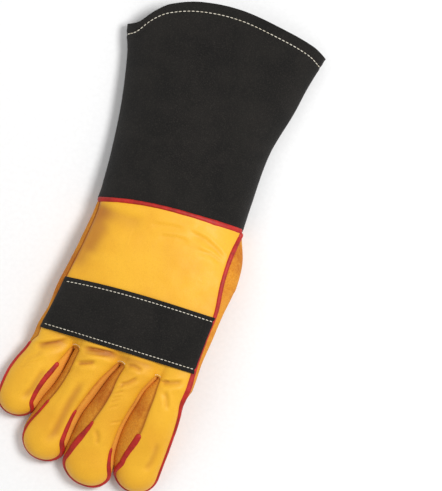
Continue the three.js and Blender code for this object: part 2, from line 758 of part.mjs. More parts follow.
// The folded thumb. Its section is an oval with a flattened underside.
function thumbForm(at, turn) {
  const values = readRow(THUMB, 'at', at);
  const shrink = Math.max(Math.cos(turn), 0);
  const side = THUMB_HEIGHT * THUMB_SIDE;
  return {
    y: WEB * PALM_LENGTH - at * THUMB_LENGTH,
    mid: values.mid * PALM_WIDTH,
    half: values.half * THUMB_WIDTH * shrink ** TIP_TAPER,
    side,
    up: (THUMB_HEIGHT - side) * shrink ** THUMB_FALL,
    down: (side + FLATTENED) * shrink ** THUMB_FALL,
  };
}

function thumbPoint(form, degrees, upper) {
  const rise = Math.abs(Math.sin(radians(degrees))) ** THUMB_ROUND;
  const z = form.side + (upper ? form.up : -form.down) * rise;
  const x = form.mid + form.half * Math.cos(radians(degrees));
  return new THREE.Vector3(x, form.y, Math.max(z, 0));
}

function thumbForms() {
  const cap = CAP_ANGLES.map((angle) => thumbForm(
    mix(THUMB_CAP, 1, Math.sin(radians(angle))), radians(angle)));
  return [...THUMB_ROWS.map((at) => thumbForm(at, 0)), ...cap];
}

// Columns of the thumb's upper or lower half below the web
function thumbColumns(net, upper) {
  const forms = thumbForms();
  const last = forms.length - 1;
  return THUMB_ANGLES.map((degrees, c) => forms.map((form, r) => {
    const key = r === last ? 'thumb:tip' : `thumb:${c}:${r}`;
    net.points.set(key, thumbPoint(form, degrees, upper));
    const isEdge = degrees === 0 || degrees === 180 || r === last;
    if (isEdge && r >= THUMB_WELT_ROW) {
      net.pulls.set(key, WELT_PULL);
    }
    return key;
  }));
}

// A point of the heel of the hand: along the ground from the palm's edge to the side, then
// up the side to the seam of the back. way runs from 0 to 1.
function heelPoint(y, way) {
  const section = handSection(y);
  const edge = readRow(HEEL_EDGE, 'at', y / PALM_LENGTH);
  const start = (edge.across * PALM_WIDTH - section.mid) / section.half;
  const ground = () => 0;
  if (way < HEEL_TURN) {
    const part = mix(start, 1, Math.sin((way / HEEL_TURN) * Math.PI / 2));
    const point = sectionPoint(section, y, part, false, ground);
    const rise = ease(1 - way / HEEL_SLOPE) * edge.height * HAND_HEIGHT;
    point.z = Math.max(point.z, rise);
    return point;
  }
  const part = mix(1, section.seamRight, ((way - HEEL_TURN) / (1 - HEEL_TURN)) ** 2);
  return sectionPoint(section, y, part, true, ground);
}

// A point of the thumb's front above the web, where it widens into the heel of the hand
function thumbRootPoint(row, c) {
  const way = c / (THUMB_ANGLES.length - 1);
  const wrist = wristAt(mix(HEEL_LEFT, 1, way));
  const y = row * mix(PALM_LENGTH, wrist, ease((row - WEB) / (1 - WEB)));
  const onThumb = thumbPoint(thumbForm(0, 0), THUMB_ANGLES[c], false);
  onThumb.y = y;
  return onThumb.lerp(heelPoint(y, way), ease((row - WEB) / (HEEL_START - WEB)));
}

// The front of the thumb, which lies on the ground and runs up through the heel of the hand
// to the wrist and to the seam of the back
function thumbFrontNet() {
  const net = emptyNet();
  const last = THUMB_ANGLES.length - 1;
  const rootRows = HEEL_ROWS.filter((row) => row > WEB).reverse();
  const thumb = thumbColumns(net, false);
  const columns = THUMB_ANGLES.map((_, c) => {
    const keys = rootRows.map((row) => {
      const key = `heel:${c}:${row}`;
      net.points.set(key, thumbRootPoint(row, c));
      if (c === last && row > HEEL_WELT_START) {
        net.pulls.set(key, WELT_PULL);
      }
      return key;
    });
    return [...keys, ...thumb[c]];
  });
  addCells(net, columns, true);
  return net;
}

// The half of the thumb that faces the palm. It reaches past the web, where its edges follow
// the thumb's front, and the edge of the thumb hole cuts it.
function thumbBackNet() {
  const net = emptyNet();
  const thumb = thumbColumns(net, true);
  const last = THUMB_ANGLES.length - 1;
  const rootRows = HEEL_ROWS.filter((row) => row > WEB && row < ROOT_END).reverse();
  const columns = THUMB_ANGLES.map((degrees, c) => {
    const keys = rootRows.map((row) => {
      const left = thumbRootPoint(row, 0);
      const right = thumbRootPoint(row, last);
      const across = (1 - Math.cos(radians(degrees))) / 2;
      const point = right.clone().lerp(left, across);
      const rise = Math.abs(Math.sin(radians(degrees))) ** THUMB_ROUND;
      point.z = mix(point.z, THUMB_HEIGHT, rise);
      const key = `root:${c}:${row}`;
      net.points.set(key, point);
      return key;
    });
    return [...keys, ...thumb[c]];
  });
  addCells(net, columns);
  return net;
}

function cuffMouth(share, side) {
  return PALM_LENGTH + CUFF_LENGTH * read(MOUTH, 'across', side, share);
}

// A point of the cuff. share runs from the left seam to the right one, row from the wrist to
// the mouth.
function cuffPoint(share, row, isBack) {
  const y = mix(wristAt(share), cuffMouth(share, isBack ? 'back' : 'front'), row);
  const values = readRow(CUFF, 'at', (y - PALM_LENGTH) / CUFF_LENGTH);
  const x = mix(values.left, values.right, share) * PALM_WIDTH;
  const bulge = (4 * share * (1 - share)) ** values.round;
  const edge = values.edge * HAND_HEIGHT;
  if (isBack) {
    return new THREE.Vector3(x, y, mix(edge, values.crown * HAND_HEIGHT, bulge));
  }
  const toPatch = y - wristAt(share) - PATCH_DEPTH;
  const floor = PATCH_ROOM * ease((PATCH_SLOPE_END - toPatch) / PATCH_SLOPE);
  return new THREE.Vector3(x, y, Math.max(edge - (edge - floor + FLATTENED) * bulge, floor));
}

function cuffNet(isBack) {
  const net = emptyNet();
  const columns = Array.from({ length: CUFF_COLUMNS + 1 }, (_, c) => {
    const share = (1 - Math.cos((c / CUFF_COLUMNS) * Math.PI)) / 2;
    return Array.from({ length: CUFF_ROWS + 1 }, (__, r) => {
      const key = `${c}:${r}`;
      net.points.set(key, cuffPoint(share, 1 - r / CUFF_ROWS, isBack));
      if (isBack && r === CUFF_ROWS) {
        net.pulls.set(key, WELT_PULL);
      }
      return key;
    });
  });
  addCells(net, columns, !isBack);
  return net;
}

// Solid of a three.js geometry
function solidOf(geometry) {
  const bare = geometry.clone();
  bare.deleteAttribute('normal');
  bare.deleteAttribute('uv');
  const merged = mergeVertices(bare, 1e-4);
  return new wasm.Manifold(new wasm.Mesh({
    numProp: 3,
    vertProperties: new Float32Array(merged.attributes.position.array),
    triVerts: new Uint32Array(merged.index.array),
  }));
}

// A line through seam points that keeps to them, for a welt to follow
class SeamLine extends THREE.Curve {
  constructor(points) {
    super();
    this.points = points;
  }

  getPoint(t) {
    const place = clamp(t, 0, 1) * (this.points.length - 1);
    const k = Math.min(Math.floor(place), this.points.length - 2);
    return this.points[k].clone().lerp(this.points[k + 1], place - k);
  }

  getPointAt(t) {
    return this.getPoint(t);
  }

  getTangent(t) {
    const reach = 0.5 / (this.points.length - 1);
    return this.getPoint(t + reach).sub(this.getPoint(t - reach)).normalize();
  }

  getTangentAt(t) {
    return this.getTangent(t);
  }
}

// Round cord of leather along a line of seam points
function welt(points) {
  const corners = Array.from({ length: WELT_SIDES }, (_, k) => {
    const turn = (k / WELT_SIDES) * 2 * Math.PI;
    return new THREE.Vector2(WELT_RADIUS * Math.cos(turn), WELT_RADIUS * Math.sin(turn));
  });
  const geometry = new THREE.ExtrudeGeometry(new THREE.Shape(corners), {
    steps: points.length - 1,
    extrudePath: new SeamLine(points),
    bevelEnabled: false,
  });
  return solidOf(geometry);
}

// Prism over an outline in the plane, from one height to another
function prism(outline, low, high) {
  const shape = new THREE.Shape(outline.map((point) => new THREE.Vector2(point.x, point.y)));
  const geometry = new THREE.ExtrudeGeometry(shape, { depth: high - low, bevelEnabled: false });
  geometry.translate(0, 0, low);
  return solidOf(geometry);
}

// Seam points along one edge of a finger, from one row to another
function seamPoints(name, edge, from, to) {
  const step = from < to ? 1 : -1;
  return Array.from({ length: Math.abs(to - from) + 1 }, (_, k) => {
    const form = fingerRow(name, from + k * step);
    const point = fingerPoint(form, form[edge]);
    point.z -= WELT_SINK;
    return point;
  });
}

function tipSeam(name) {
  const rows = WELT_ROWS[name];
  return [
    ...seamPoints(name, 'leftTop', rows.left, TIP_ROW),
    ...seamPoints(name, 'rightTop', TIP_ROW - 1, rows.right),
  ];
}

// From the wrist down the thumb side of the hand and round the index fingertip
function indexSeam() {
  const form = fingerForm('index', 0, 0);
  const share = clamp((form.mid + form.half * Math.cos(form.rightTop)) / PALM_WIDTH + 0.5, 0, 1);
  const onHand = HAND_ROWS_DOWN.slice(0, -1).map((row) => {
    const column = { place: 'back', share: 1 };
    const point = handPoint('index', form.rightTop, rowHeight(row, share), column);
    point.z -= WELT_SINK;
    return point;
  });
  return [
    ...onHand,
    ...seamPoints('index', 'rightTop', 0, TIP_ROW),
    ...seamPoints('index', 'leftTop', TIP_ROW - 1, WELT_ROWS.index.left),
  ];
}

function wristSeam() {
  return Array.from({ length: CUFF_COLUMNS - 2 }, (_, k) => {
    const share = (1 - Math.cos(((k + 1) / CUFF_COLUMNS) * Math.PI)) / 2;
    const point = cuffPoint(share, 0, true);
    point.z -= WELT_SINK;
    return point;
  });
}

// Along the foot of the middle fronts
function palmSeam() {
  const { points } = middleFrontNet();
  const keys = ['middle', 'ring'].flatMap((name) => Array.from(
    { length: FRONT_COLUMNS + 1 }, (_, c) => `${name}:${c}:hand:${PALM_WELT_AT}`));
  keys.splice(FRONT_COLUMNS + 1, 0, 'fork:0');
  return keys.map((key) => {
    const point = points.get(key).clone();
    point.z += WELT_SINK;
    return point;
  });
}

function thumbSeam() {
  const forms = thumbForms();
  const left = forms.slice(THUMB_WELT_ROW).map((form) => thumbPoint(form, 180, true));
  const right = forms.slice(THUMB_WELT_ROW, -1).reverse().map((form) => thumbPoint(form, 0, true));
  return [...left, ...right];
}

// The thumb hole in the palm with the heel of the hand, moved outwards by a margin
function holePrism(margin) {
  const line = beside(HOLE_LINE, -margin);
  const top = PALM_LENGTH + CUFF_LENGTH;
  const right = PALM_WIDTH;
  const end = line[line.length - 1];
  const sideEnd = PALM_LENGTH * HOLE_END;
  const outline = [
    ...line,
    new THREE.Vector3(end.x, sideEnd, 0),
    new THREE.Vector3(right, sideEnd, 0),
    new THREE.Vector3(right, top, 0),
    new THREE.Vector3(line[0].x, top, 0),
  ];
  return prism(outline, -GRAIN, HAND_HEIGHT);
}

function strapPrism() {
  const outline = [
    ...beside(STRAP_LINE, STRAP_WIDTH / 2),
    ...beside(STRAP_LINE, -STRAP_WIDTH / 2).reverse(),
  ];
  return prism(outline, -GRAIN, THUMB_ROOM + GRAIN);
}

// Outline of the wrist patch: a straight lower edge and a flat arch
function patchPrism() {
  const place = (share, reach) => {
    const x = mix(CUFF[0].left, CUFF[0].right, mix(PATCH_START, PATCH_STOP, share)) * PALM_WIDTH;
    return new THREE.Vector3(x, wristAt(mix(PATCH_START, PATCH_STOP, share)) + reach, 0);
  };
  const steps = Array.from({ length: PATCH_STEPS + 1 }, (_, k) => k / PATCH_STEPS);
  const lower = steps.map((share) => place(share, SEAM_PULL));
  const arch = steps.reverse().map((share) => {
    const height = Math.sqrt(1 - (2 * share - 1) ** 4);
    return place(share, PATCH_DEPTH * mix(PATCH_SIDE, 1, height));
  });
  return prism([...lower, ...arch], -GRAIN, HAND_HEIGHT * PATCH_REACH);
}

// Cuts neighbours away from a piece and keeps its largest body
function trimmed(solid, neighbours) {
  const left = neighbours.reduce((rest, neighbour) => rest.subtract(neighbour), solid);
  return left.decompose().reduce(
    (best, body) => (body.volume() > best.volume() ? body : best));
}

const nets = {
  back: backNet(HAND_ROWS_DOWN, TIP_ROW),
  band: backNet(HAND_ROWS.slice(BAND_START, BAND_END + 1).reverse(), 0),
  palm: palmNet(),
  middle_front: middleFrontNet(),
  fourchette_little_ring: fourchetteNet('little', 'ring'),
  fourchette_ring_middle: fourchetteNet('ring', 'middle'),
  fourchette_middle_index: fourchetteNet('middle', 'index'),
  thumb_front: thumbFrontNet(),
  thumb_back: thumbBackNet(),
  cuff_back: cuffNet(true),
  cuff_front: cuffNet(false),
};
pullFromWrist(nets.back);

const backRoom = roomOf(nets.back, GRAIN);
const thumbFrontRoom = roomOf(nets.thumb_front, SUEDE);
const thumbBackRoom = roomOf(nets.thumb_back, SUEDE);
const cuffBackRoom = roomOf(nets.cuff_back, CUFF_SUEDE);
const palmCuts = [holePrism(0), thumbFrontRoom];
const palmRoom = roomOf(nets.palm, SUEDE).subtract(holePrism(-GAP));
const frontRoom = roomOf(nets.middle_front, SUEDE);
const fourchetteCuts = [backRoom, palmRoom, frontRoom];

const FINISHES = {
  grain: { color: '#f0b432', roughness: 0.5 },
  suede: { color: '#db8a2b', roughness: 0.95 },
  black: { color: '#262422', roughness: 0.95 },
  welt: { color: '#c0302a', roughness: 0.6 },
};

const PIECES = {
  back: ['grain', sheet(nets.back, GRAIN)],
  knuckle_band: ['black', sheet(nets.band, BAND_SUEDE, BAND_SUEDE + GAP)],
  palm: ['suede', trimmed(sheet(nets.palm, SUEDE), palmCuts)],
  middle_front: ['suede', trimmed(sheet(nets.middle_front, SUEDE), [palmRoom])],
  fourchette_little_ring: ['suede',
    trimmed(sheet(nets.fourchette_little_ring, SUEDE), fourchetteCuts)],
  fourchette_ring_middle: ['suede',
    trimmed(sheet(nets.fourchette_ring_middle, SUEDE), fourchetteCuts)],
  fourchette_middle_index: ['suede',
    trimmed(sheet(nets.fourchette_middle_index, SUEDE), fourchetteCuts)],
  thumb_front: ['suede', sheet(nets.thumb_front, SUEDE)],
  thumb_back: ['suede',
    trimmed(sheet(nets.thumb_back, SUEDE), [holePrism(0), thumbFrontRoom, palmRoom])],
  thumb_strap: ['grain', trimmed(
    sheet(nets.palm, GRAIN, GRAIN + GAP).intersect(strapPrism()),
    [thumbFrontRoom, thumbBackRoom, holePrism(GAP)])],
  wrist_patch: ['suede', trimmed(
    sheet(nets.cuff_front, SUEDE, SUEDE + GAP).intersect(patchPrism()), [])],
  cuff_back: ['black', sheet(nets.cuff_back, CUFF_SUEDE)],
  cuff_front: ['black', trimmed(
    sheet(nets.cuff_front, CUFF_SUEDE), [cuffBackRoom, palmRoom, thumbFrontRoom])],
  cuff_welt: ['welt', welt(wristSeam())],
  index_welt: ['welt', welt(indexSeam())],
  little_welt: ['welt', welt(tipSeam('little'))],
  ring_welt: ['welt', welt(tipSeam('ring'))],
  middle_welt: ['welt', welt(tipSeam('middle'))],
  palm_welt: ['welt', welt(palmSeam())],
  thumb_welt: ['welt', welt(thumbSeam())],
};

const glove = new THREE.Group();
const box = new THREE.Box3();
for (const [name, [finish, solid]] of Object.entries(PIECES)) {
  const mesh = solid.getMesh();
  const geometry = new THREE.BufferGeometry();
  geometry.setAttribute('position', new THREE.BufferAttribute(mesh.vertProperties, 3));
  geometry.setIndex(new THREE.BufferAttribute(mesh.triVerts, 1));
  const material = new THREE.MeshStandardMaterial({ ...FINISHES[finish], metalness: 0 });
  const piece = new THREE.Mesh(geometry, material);
  piece.name = name;
  glove.add(piece);
  box.expandByObject(piece);
}
const centre = box.getCenter(new THREE.Vector3());
glove.position.set(-centre.x, -centre.y, -box.min.z);

export default glove;
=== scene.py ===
import math

import bmesh
import bpy
from mathutils import Matrix, Vector, noise
from mathutils.bvhtree import BVHTree
from mathutils.kdtree import KDTree


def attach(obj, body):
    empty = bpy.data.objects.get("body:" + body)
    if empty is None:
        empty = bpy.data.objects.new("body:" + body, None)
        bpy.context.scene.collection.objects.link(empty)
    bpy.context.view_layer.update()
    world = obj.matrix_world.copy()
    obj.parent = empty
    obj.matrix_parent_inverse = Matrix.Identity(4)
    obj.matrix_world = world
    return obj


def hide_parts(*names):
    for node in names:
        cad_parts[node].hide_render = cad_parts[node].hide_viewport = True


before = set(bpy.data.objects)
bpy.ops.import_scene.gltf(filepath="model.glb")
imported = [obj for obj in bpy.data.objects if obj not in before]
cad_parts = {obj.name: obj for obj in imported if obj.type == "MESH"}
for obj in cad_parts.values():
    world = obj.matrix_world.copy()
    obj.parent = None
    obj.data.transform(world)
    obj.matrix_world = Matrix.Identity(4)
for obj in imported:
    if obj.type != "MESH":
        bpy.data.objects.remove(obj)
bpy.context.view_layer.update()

# Sizes in millimetres
PALM_WIDTH = 112
PALM_LENGTH = 114
CUFF_LENGTH = 150
HAND_HEIGHT = 38
THUMB_LENGTH = 51
THUMB_WIDTH = 42
THUMB_HEIGHT = 15.5
SUEDE = 1.8
GRAIN = 1.5
CUFF_SUEDE = 2
BAND_SUEDE = 1.3
STRAP_WIDTH = 23
PATCH_DEPTH = 28
GAP = 0.3
TO_FRAME = Vector((1.771, -88.784, 0.044))  # from the crotches to the frame's origin
MM = 0.001

# Shares of the lying form
CAP_START = 0.78
CAP_WAY = 0.7  # share of a finger's surface length that lies before its rounded tip
SIDE_LEVEL = 0.45
KNUCKLE_BLEND = 0.2
VALLEY_GAP = 0.06
CROTCH_GAP = 0.45
CROTCH_EASE = 0.09
CROTCH_DEPTH = 2.0
CROTCH_FADE = 0.07
SEAMS_MEET = math.radians(49)
FLATTENED = 2
FRONT_SEAM = 0.8
PALM_WELT_AT = 0.035
WRIST_TOP = 1.03
WRIST_DROP = 0.11
BAND_ROWS = (0.085, 0.452)
BAND_RISE = 0.048
TIP_TAPER = 0.9
TIP_FALL = 0.7
SIDE_ROUND = 0.9
THUMB_SLOPE_FROM = -0.3
THUMB_SLOPE_WIDTH = 0.31
THUMB_COVER_END = 0.8
THUMB_COVER_SLOPE = 0.25
STRAP_SLOPE_END = 9
STRAP_SLOPE = 6
PATCH_SLOPE_END = 14
PATCH_SLOPE = 12
PATCH_SIDE = 0.25
PATCH_START = 0.06
PATCH_STOP = 0.88
WEB = 0.465
HEEL_START = 0.67
HEEL_TURN = 0.65
HEEL_SLOPE = 0.2
HEEL_LEFT = 0.68
ROOT_END = 0.82
HOLE_END = 0.69
THUMB_CAP = 0.72
THUMB_CAP_WAY = 0.66
THUMB_SIDE = 0.5
THUMB_FALL = 0.5
THUMB_ROUND = 0.75
THUMB_ROOM = THUMB_HEIGHT + GRAIN + 2 * GAP
PATCH_ROOM = SUEDE + GAP
STRAP_ROOM = GRAIN + GAP


def table(columns, rows):
    return [dict(zip(columns.split(), row)) for row in rows]


# The lines on which neighbouring fingers touch, as shares of the palm's width
VALLEYS = table("at line0 line1 line2 line3 line4", [
    (0.000, -0.534, -0.250, 0.057, 0.301, 0.540),
    (0.094, -0.546, -0.260, 0.019, 0.257, 0.511),
    (0.180, -0.578, -0.275, -0.007, 0.239, 0.517),
    (0.265, -0.602, -0.300, -0.032, 0.220, 0.523),
    (0.360, -0.611, -0.338, -0.062, 0.206, 0.525),
    (0.445, -0.611, -0.360, -0.076, 0.204, 0.525),
    (0.540, -0.611, -0.381, -0.085, 0.211, 0.524),
    (0.630, -0.611, -0.383, -0.092, 0.234, 0.524),
    (0.780, -0.611, -0.383, -0.080, 0.252, 0.524),
])

# left and right: the seams on the back, shares of the half width. base and crown: underside
# and top, shares of the hand's height
FINGER_COLUMNS = "at left right base crown"
FINGERS = {
    "little": {"line": 0, "length": 58.5, "sections": table(FINGER_COLUMNS, [
        (0.00, -0.78, 0.83, 0.00, 0.62),
        (0.10, -0.92, 0.70, 0.00, 0.61),
        (0.25, -0.96, 0.57, 0.00, 0.60),
        (0.50, -0.97, 0.50, 0.00, 0.57),
        (0.78, -0.97, 0.62, 0.00, 0.50),
        (1.00, -0.97, 0.70, 0.00, 0.48),
    ])},
    "ring": {"line": 1, "length": 82, "sections": table(FINGER_COLUMNS, [
        (0.00, -0.83, 0.83, 0.28, 0.82),
        (0.25, -0.75, 0.62, 0.16, 0.74),
        (0.50, -0.70, 0.62, 0.04, 0.63),
        (0.78, -0.92, 0.68, 0.00, 0.53),
        (1.00, -0.95, 0.75, 0.00, 0.50),
    ])},
    "middle": {"line": 2, "length": 88.5, "sections": table(FINGER_COLUMNS, [
        (0.00, -0.80, 0.85, 0.42, 0.93),
        (0.25, -0.42, 0.83, 0.28, 0.86),
        (0.50, -0.40, 0.84, 0.12, 0.74),
        (0.78, -0.76, 0.80, 0.00, 0.58),
        (1.00, -0.85, 0.85, 0.00, 0.54),
    ])},
    "index": {"line": 3, "length": 81.5, "sections": table(FINGER_COLUMNS, [
        (0.00, -0.85, 0.72, 0.44, 0.93),
        (0.13, -0.46, 0.88, 0.40, 0.91),
        (0.25, -0.38, 0.94, 0.32, 0.88),
        (0.50, -0.28, 0.95, 0.14, 0.76),
        (0.78, -0.58, 0.95, 0.00, 0.56),
        (1.00, -0.70, 0.96, 0.00, 0.52),
    ])},
}

# Hand sections: outline and seams as shares of the palm's width, heights of the hand's height
HAND = table("at sideLeft seamLeft seamRight sideRight crown tilt edgeLeft edgeRight round", [
    (0.00, -0.534, -0.498, 0.495, 0.541, 0.87, 0.13, 0.27, 0.60, 0.22),
    (0.17, -0.505, -0.481, 0.502, 0.536, 0.91, 0.12, 0.27, 0.58, 0.21),
    (0.34, -0.495, -0.462, 0.506, 0.545, 0.95, 0.10, 0.28, 0.56, 0.22),
    (0.51, -0.474, -0.444, 0.508, 0.557, 0.97, 0.08, 0.29, 0.50, 0.24),
    (0.69, -0.453, -0.424, 0.482, 0.574, 0.97, 0.05, 0.30, 0.40, 0.28),
    (0.86, -0.436, -0.416, 0.474, 0.556, 0.94, 0.03, 0.31, 0.34, 0.34),
    (1.00, -0.440, -0.432, 0.483, 0.500, 0.92, 0.02, 0.32, 0.32, 0.42),
])

CUFF = table("at left right crown edge round", [
    (0.00, -0.440, 0.492, 0.92, 0.32, 0.42),
    (0.17, -0.462, 0.484, 0.88, 0.30, 0.48),
    (0.42, -0.512, 0.486, 0.84, 0.28, 0.55),
    (0.64, -0.583, 0.543, 0.80, 0.27, 0.58),
    (0.77, -0.644, 0.568, 0.78, 0.26, 0.60),
    (0.94, -0.650, 0.614, 0.76, 0.26, 0.60),
])

MOUTH = table("across back front", [
    (0.00, 0.769, 0.769),
    (0.06, 0.800, 0.800),
    (0.12, 0.872, 0.855),
    (0.18, 0.925, 0.888),
    (0.32, 0.981, 0.918),
    (0.52, 1.008, 0.928),
    (0.75, 0.992, 0.925),
    (0.92, 0.966, 0.925),
    (1.00, 0.933, 0.933),
])

THUMB = table("at mid half", [
    (0.00, 0.246, 0.525),
    (0.30, 0.194, 0.517),
    (0.55, 0.168, 0.480),
    (0.72, 0.156, 0.410),
    (1.00, 0.140, 0.410),
])

HEEL_EDGE = table("at across height", [
    (0.40, 0.020, 0.200),
    (0.465, 0.048, 0.200),
    (0.55, 0.064, 0.190),
    (0.66, 0.090, 0.120),
    (0.78, 0.104, 0.040),
    (0.87, 0.140, 0.000),
    (1.00, 0.190, 0.000),
])

HOLE = table("across along", [
    (0.200, 1.06),
    (0.140, 0.87),
    (0.088, 0.77),
    (0.074, 0.69),
    (0.090, 0.61),
    (0.135, 0.55),
    (0.240, 0.51),
    (0.360, 0.50),
    (0.450, 0.525),
    (0.520, 0.59),
])
STRAP = table("across along", [
    (0.080, 1.06),
    (0.052, 0.97),
    (0.018, 0.86),
    (-0.008, 0.73),
    (0.004, 0.61),
    (0.055, 0.49),
    (0.150, 0.40),
    (0.290, 0.365),
    (0.420, 0.370),
    (0.505, 0.375),
])


def clamp(value, low, high):
    return min(max(value, low), high)


def mix(a, b, share):
    return a + (b - a) * share


def shares(count):
    """Even shares from 0 to 1, both ends among them"""
    return [k / count for k in range(count + 1)]


def ease(value):
    t = clamp(value, 0, 1)
    return t * t * (3 - 2 * t)


def power(value, exponent):
    return max(value, 0) ** exponent


def read(rows, key, name, value):
    """Smooth curve through one column of a table, flat beyond its ends"""
    last = len(rows) - 1
    x = clamp(value, rows[0][key], rows[last][key])
    k = 0
    while k < last - 1 and x > rows[k + 1][key]:
        k += 1

    def slope(i):
        low = rows[max(i - 1, 0)]
        high = rows[min(i + 1, last)]
        return (high[name] - low[name]) / (high[key] - low[key])

    span = rows[k + 1][key] - rows[k][key]
    t = (x - rows[k][key]) / span
    t2 = t * t
    t3 = t2 * t
    return (
        (2 * t3 - 3 * t2 + 1) * rows[k][name]
        + (t3 - 2 * t2 + t) * span * slope(k)
        + (3 * t2 - 2 * t3) * rows[k + 1][name]
        + (t3 - t2) * span * slope(k + 1)
    )


def read_row(rows, key, value):
    return {name: read(rows, key, name, value) for name in rows[0]}


def smooth_line(points, steps):
    """Points evenly spaced in parameter along a smooth curve through a few chosen ones"""
    padded = [points[0] * 2 - points[1], *points, points[-1] * 2 - points[-2]]
    line = []
    for k in range(steps + 1):
        way = k / steps * (len(points) - 1)
        i = min(int(way), len(points) - 2)
        t = way - i
        a, b, c, d = padded[i:i + 4]
        line.append((
            b * 2 + (c - a) * t + (a * 2 - b * 5 + c * 4 - d) * t * t
            + (b * 3 - a - c * 3 + d) * t ** 3
        ) / 2)
    return line


def route(rows, steps):
    places = [Vector((row["across"] * PALM_WIDTH, row["along"] * PALM_LENGTH, 0)) for row in rows]
    return smooth_line(places, steps)


STRAP_LINE = route(STRAP, 20)
HOLE_LINE = route(HOLE, 60)


def distance_to(line, x, y):
    best = math.inf
    for a, b in zip(line, line[1:]):
        dx, dy = b.x - a.x, b.y - a.y
        t = clamp(((x - a.x) * dx + (y - a.y) * dy) / (dx * dx + dy * dy), 0, 1)
        best = min(best, math.hypot(x - a.x - t * dx, y - a.y - t * dy))
    return best


def beside(line, distance):
    """The line beside another one in the plane, on its right for a positive distance"""
    moved = []
    for k, point in enumerate(line):
        along = (line[min(k + 1, len(line) - 1)] - line[max(k - 1, 0)]).normalized()
        moved.append(Vector((point.x + along.y * distance, point.y - along.x * distance, 0)))
    return moved


def spaced(line, step):
    """The same line with points at even distances"""
    total = sum((b - a).length for a, b in zip(line, line[1:]))
    count = max(int(round(total / step)), 1)
    points = [line[0].copy()]
    k = 0
    done = 0
    for n in range(1, count):
        target = total * n / count
        while done + (line[k + 1] - line[k]).length < target:
            done += (line[k + 1] - line[k]).length
            k += 1
        span = (line[k + 1] - line[k]).length
        points.append(line[k].lerp(line[k + 1], (target - done) / span))
    return [*points, line[-1].copy()]


# The lying form, from here to the cuff, follows the same sections as the solids
def wrist_at(share):
    return PALM_LENGTH * (WRIST_TOP - WRIST_DROP * (1 - share) ** 3)


def palm_layer(x, y):
    over_thumb = ease((x / PALM_WIDTH - THUMB_SLOPE_FROM) / THUMB_SLOPE_WIDTH)
    before_web = ease((THUMB_COVER_END - y / PALM_LENGTH) / THUMB_COVER_SLOPE)
    to_strap = distance_to(STRAP_LINE, x, y) - STRAP_WIDTH / 2
    near_strap = ease((STRAP_SLOPE_END - to_strap) / STRAP_SLOPE)
    return max(THUMB_ROOM * over_thumb * before_web, STRAP_ROOM * near_strap)


def ground(_x, _y):
    return 0


def section_point(section, y, part, upper, layer):
    x = section["mid"] + section["half"] * part
    fall = power(1 - part * part, section["round"])
    side = mix(section["edgeLeft"], section["edgeRight"], (part + 1) / 2)
    if upper:
        crown = section["crown"] + section["tilt"] * part
        return Vector((x, y, side + (crown - side) * fall))
    floor_height = layer(x, y)
    low = side - (side - floor_height + FLATTENED) * fall
    return Vector((x, y, max(low, floor_height)))


def hand_section(y):
    row = read_row(HAND, "at", y / PALM_LENGTH)
    width = row["sideRight"] - row["sideLeft"]
    middle = row["sideLeft"] + row["sideRight"]
    return {
        "mid": middle * PALM_WIDTH / 2,
        "half": width * PALM_WIDTH / 2,
        "seamLeft": (2 * row["seamLeft"] - middle) / width,
        "seamRight": (2 * row["seamRight"] - middle) / width,
        "crown": row["crown"] * HAND_HEIGHT,
        "tilt": row["tilt"] * HAND_HEIGHT,
        "edgeLeft": row["edgeLeft"] * HAND_HEIGHT,
        "edgeRight": row["edgeRight"] * HAND_HEIGHT,
        "round": row["round"],
    }


def finger_form(name, at, turn=0.0):
    finger = FINGERS[name]
    values = read_row(finger["sections"], "at", at)
    y = -finger["length"] * at
    lines = read_row(VALLEYS, "at", -y / PALM_LENGTH)
    left = lines[f"line{finger['line']}"] * PALM_WIDTH
    right = lines[f"line{finger['line'] + 1}"] * PALM_WIDTH
    gap = mix(CROTCH_GAP, VALLEY_GAP, ease(at / CROTCH_EASE))
    shrink = max(math.cos(turn), 0)
    base = values["base"] * HAND_HEIGHT - FLATTENED
    crown = values["crown"] * HAND_HEIGHT
    side = mix(base, crown, SIDE_LEVEL)
    narrowing = 1 - ease(turn / SEAMS_MEET)
    return {
        "y": y,
        "mid": (left + right) / 2,
        "half": ((right - left) / 2 - gap) * power(shrink, TIP_TAPER),
        "side": side,
        "up": (crown - side) * power(shrink, TIP_FALL),
        "down": (side - base) * power(shrink, TIP_FALL),
        "leftTop": mix(math.pi, math.acos(values["left"]), narrowing),
        "rightTop": math.acos(values["right"]) * narrowing,
        "leftLow": math.pi + math.acos(FRONT_SEAM) * narrowing,
        "rightLow": -math.acos(FRONT_SEAM) * narrowing,
    }


def finger_row(name, way):
    """Section at a share of the way from the crotch to the tip"""
    if way < CAP_WAY:
        return finger_form(name, CAP_START * way / CAP_WAY)
    turn = (way - CAP_WAY) / (1 - CAP_WAY) * math.pi / 2
    return finger_form(name, mix(CAP_START, 1, math.sin(turn)), turn)


def finger_point(form, angle):
    rise = math.sin(angle)
    reach = form["up"] if rise > 0 else form["down"]
    z = form["side"] + reach * math.copysign(abs(rise) ** SIDE_ROUND, rise)
    return Vector((form["mid"] + form["half"] * math.cos(angle), form["y"], max(z, 0)))


def row_height(row, share):
    rise = BAND_RISE * PALM_LENGTH * (share - 0.5)
    return row * wrist_at(share) + rise * min(row / BAND_ROWS[0], 1) * (1 - row)


ROOTS = {name: finger_form(name, 0) for name in FINGERS}
ROOT_SECTION = hand_section(0)


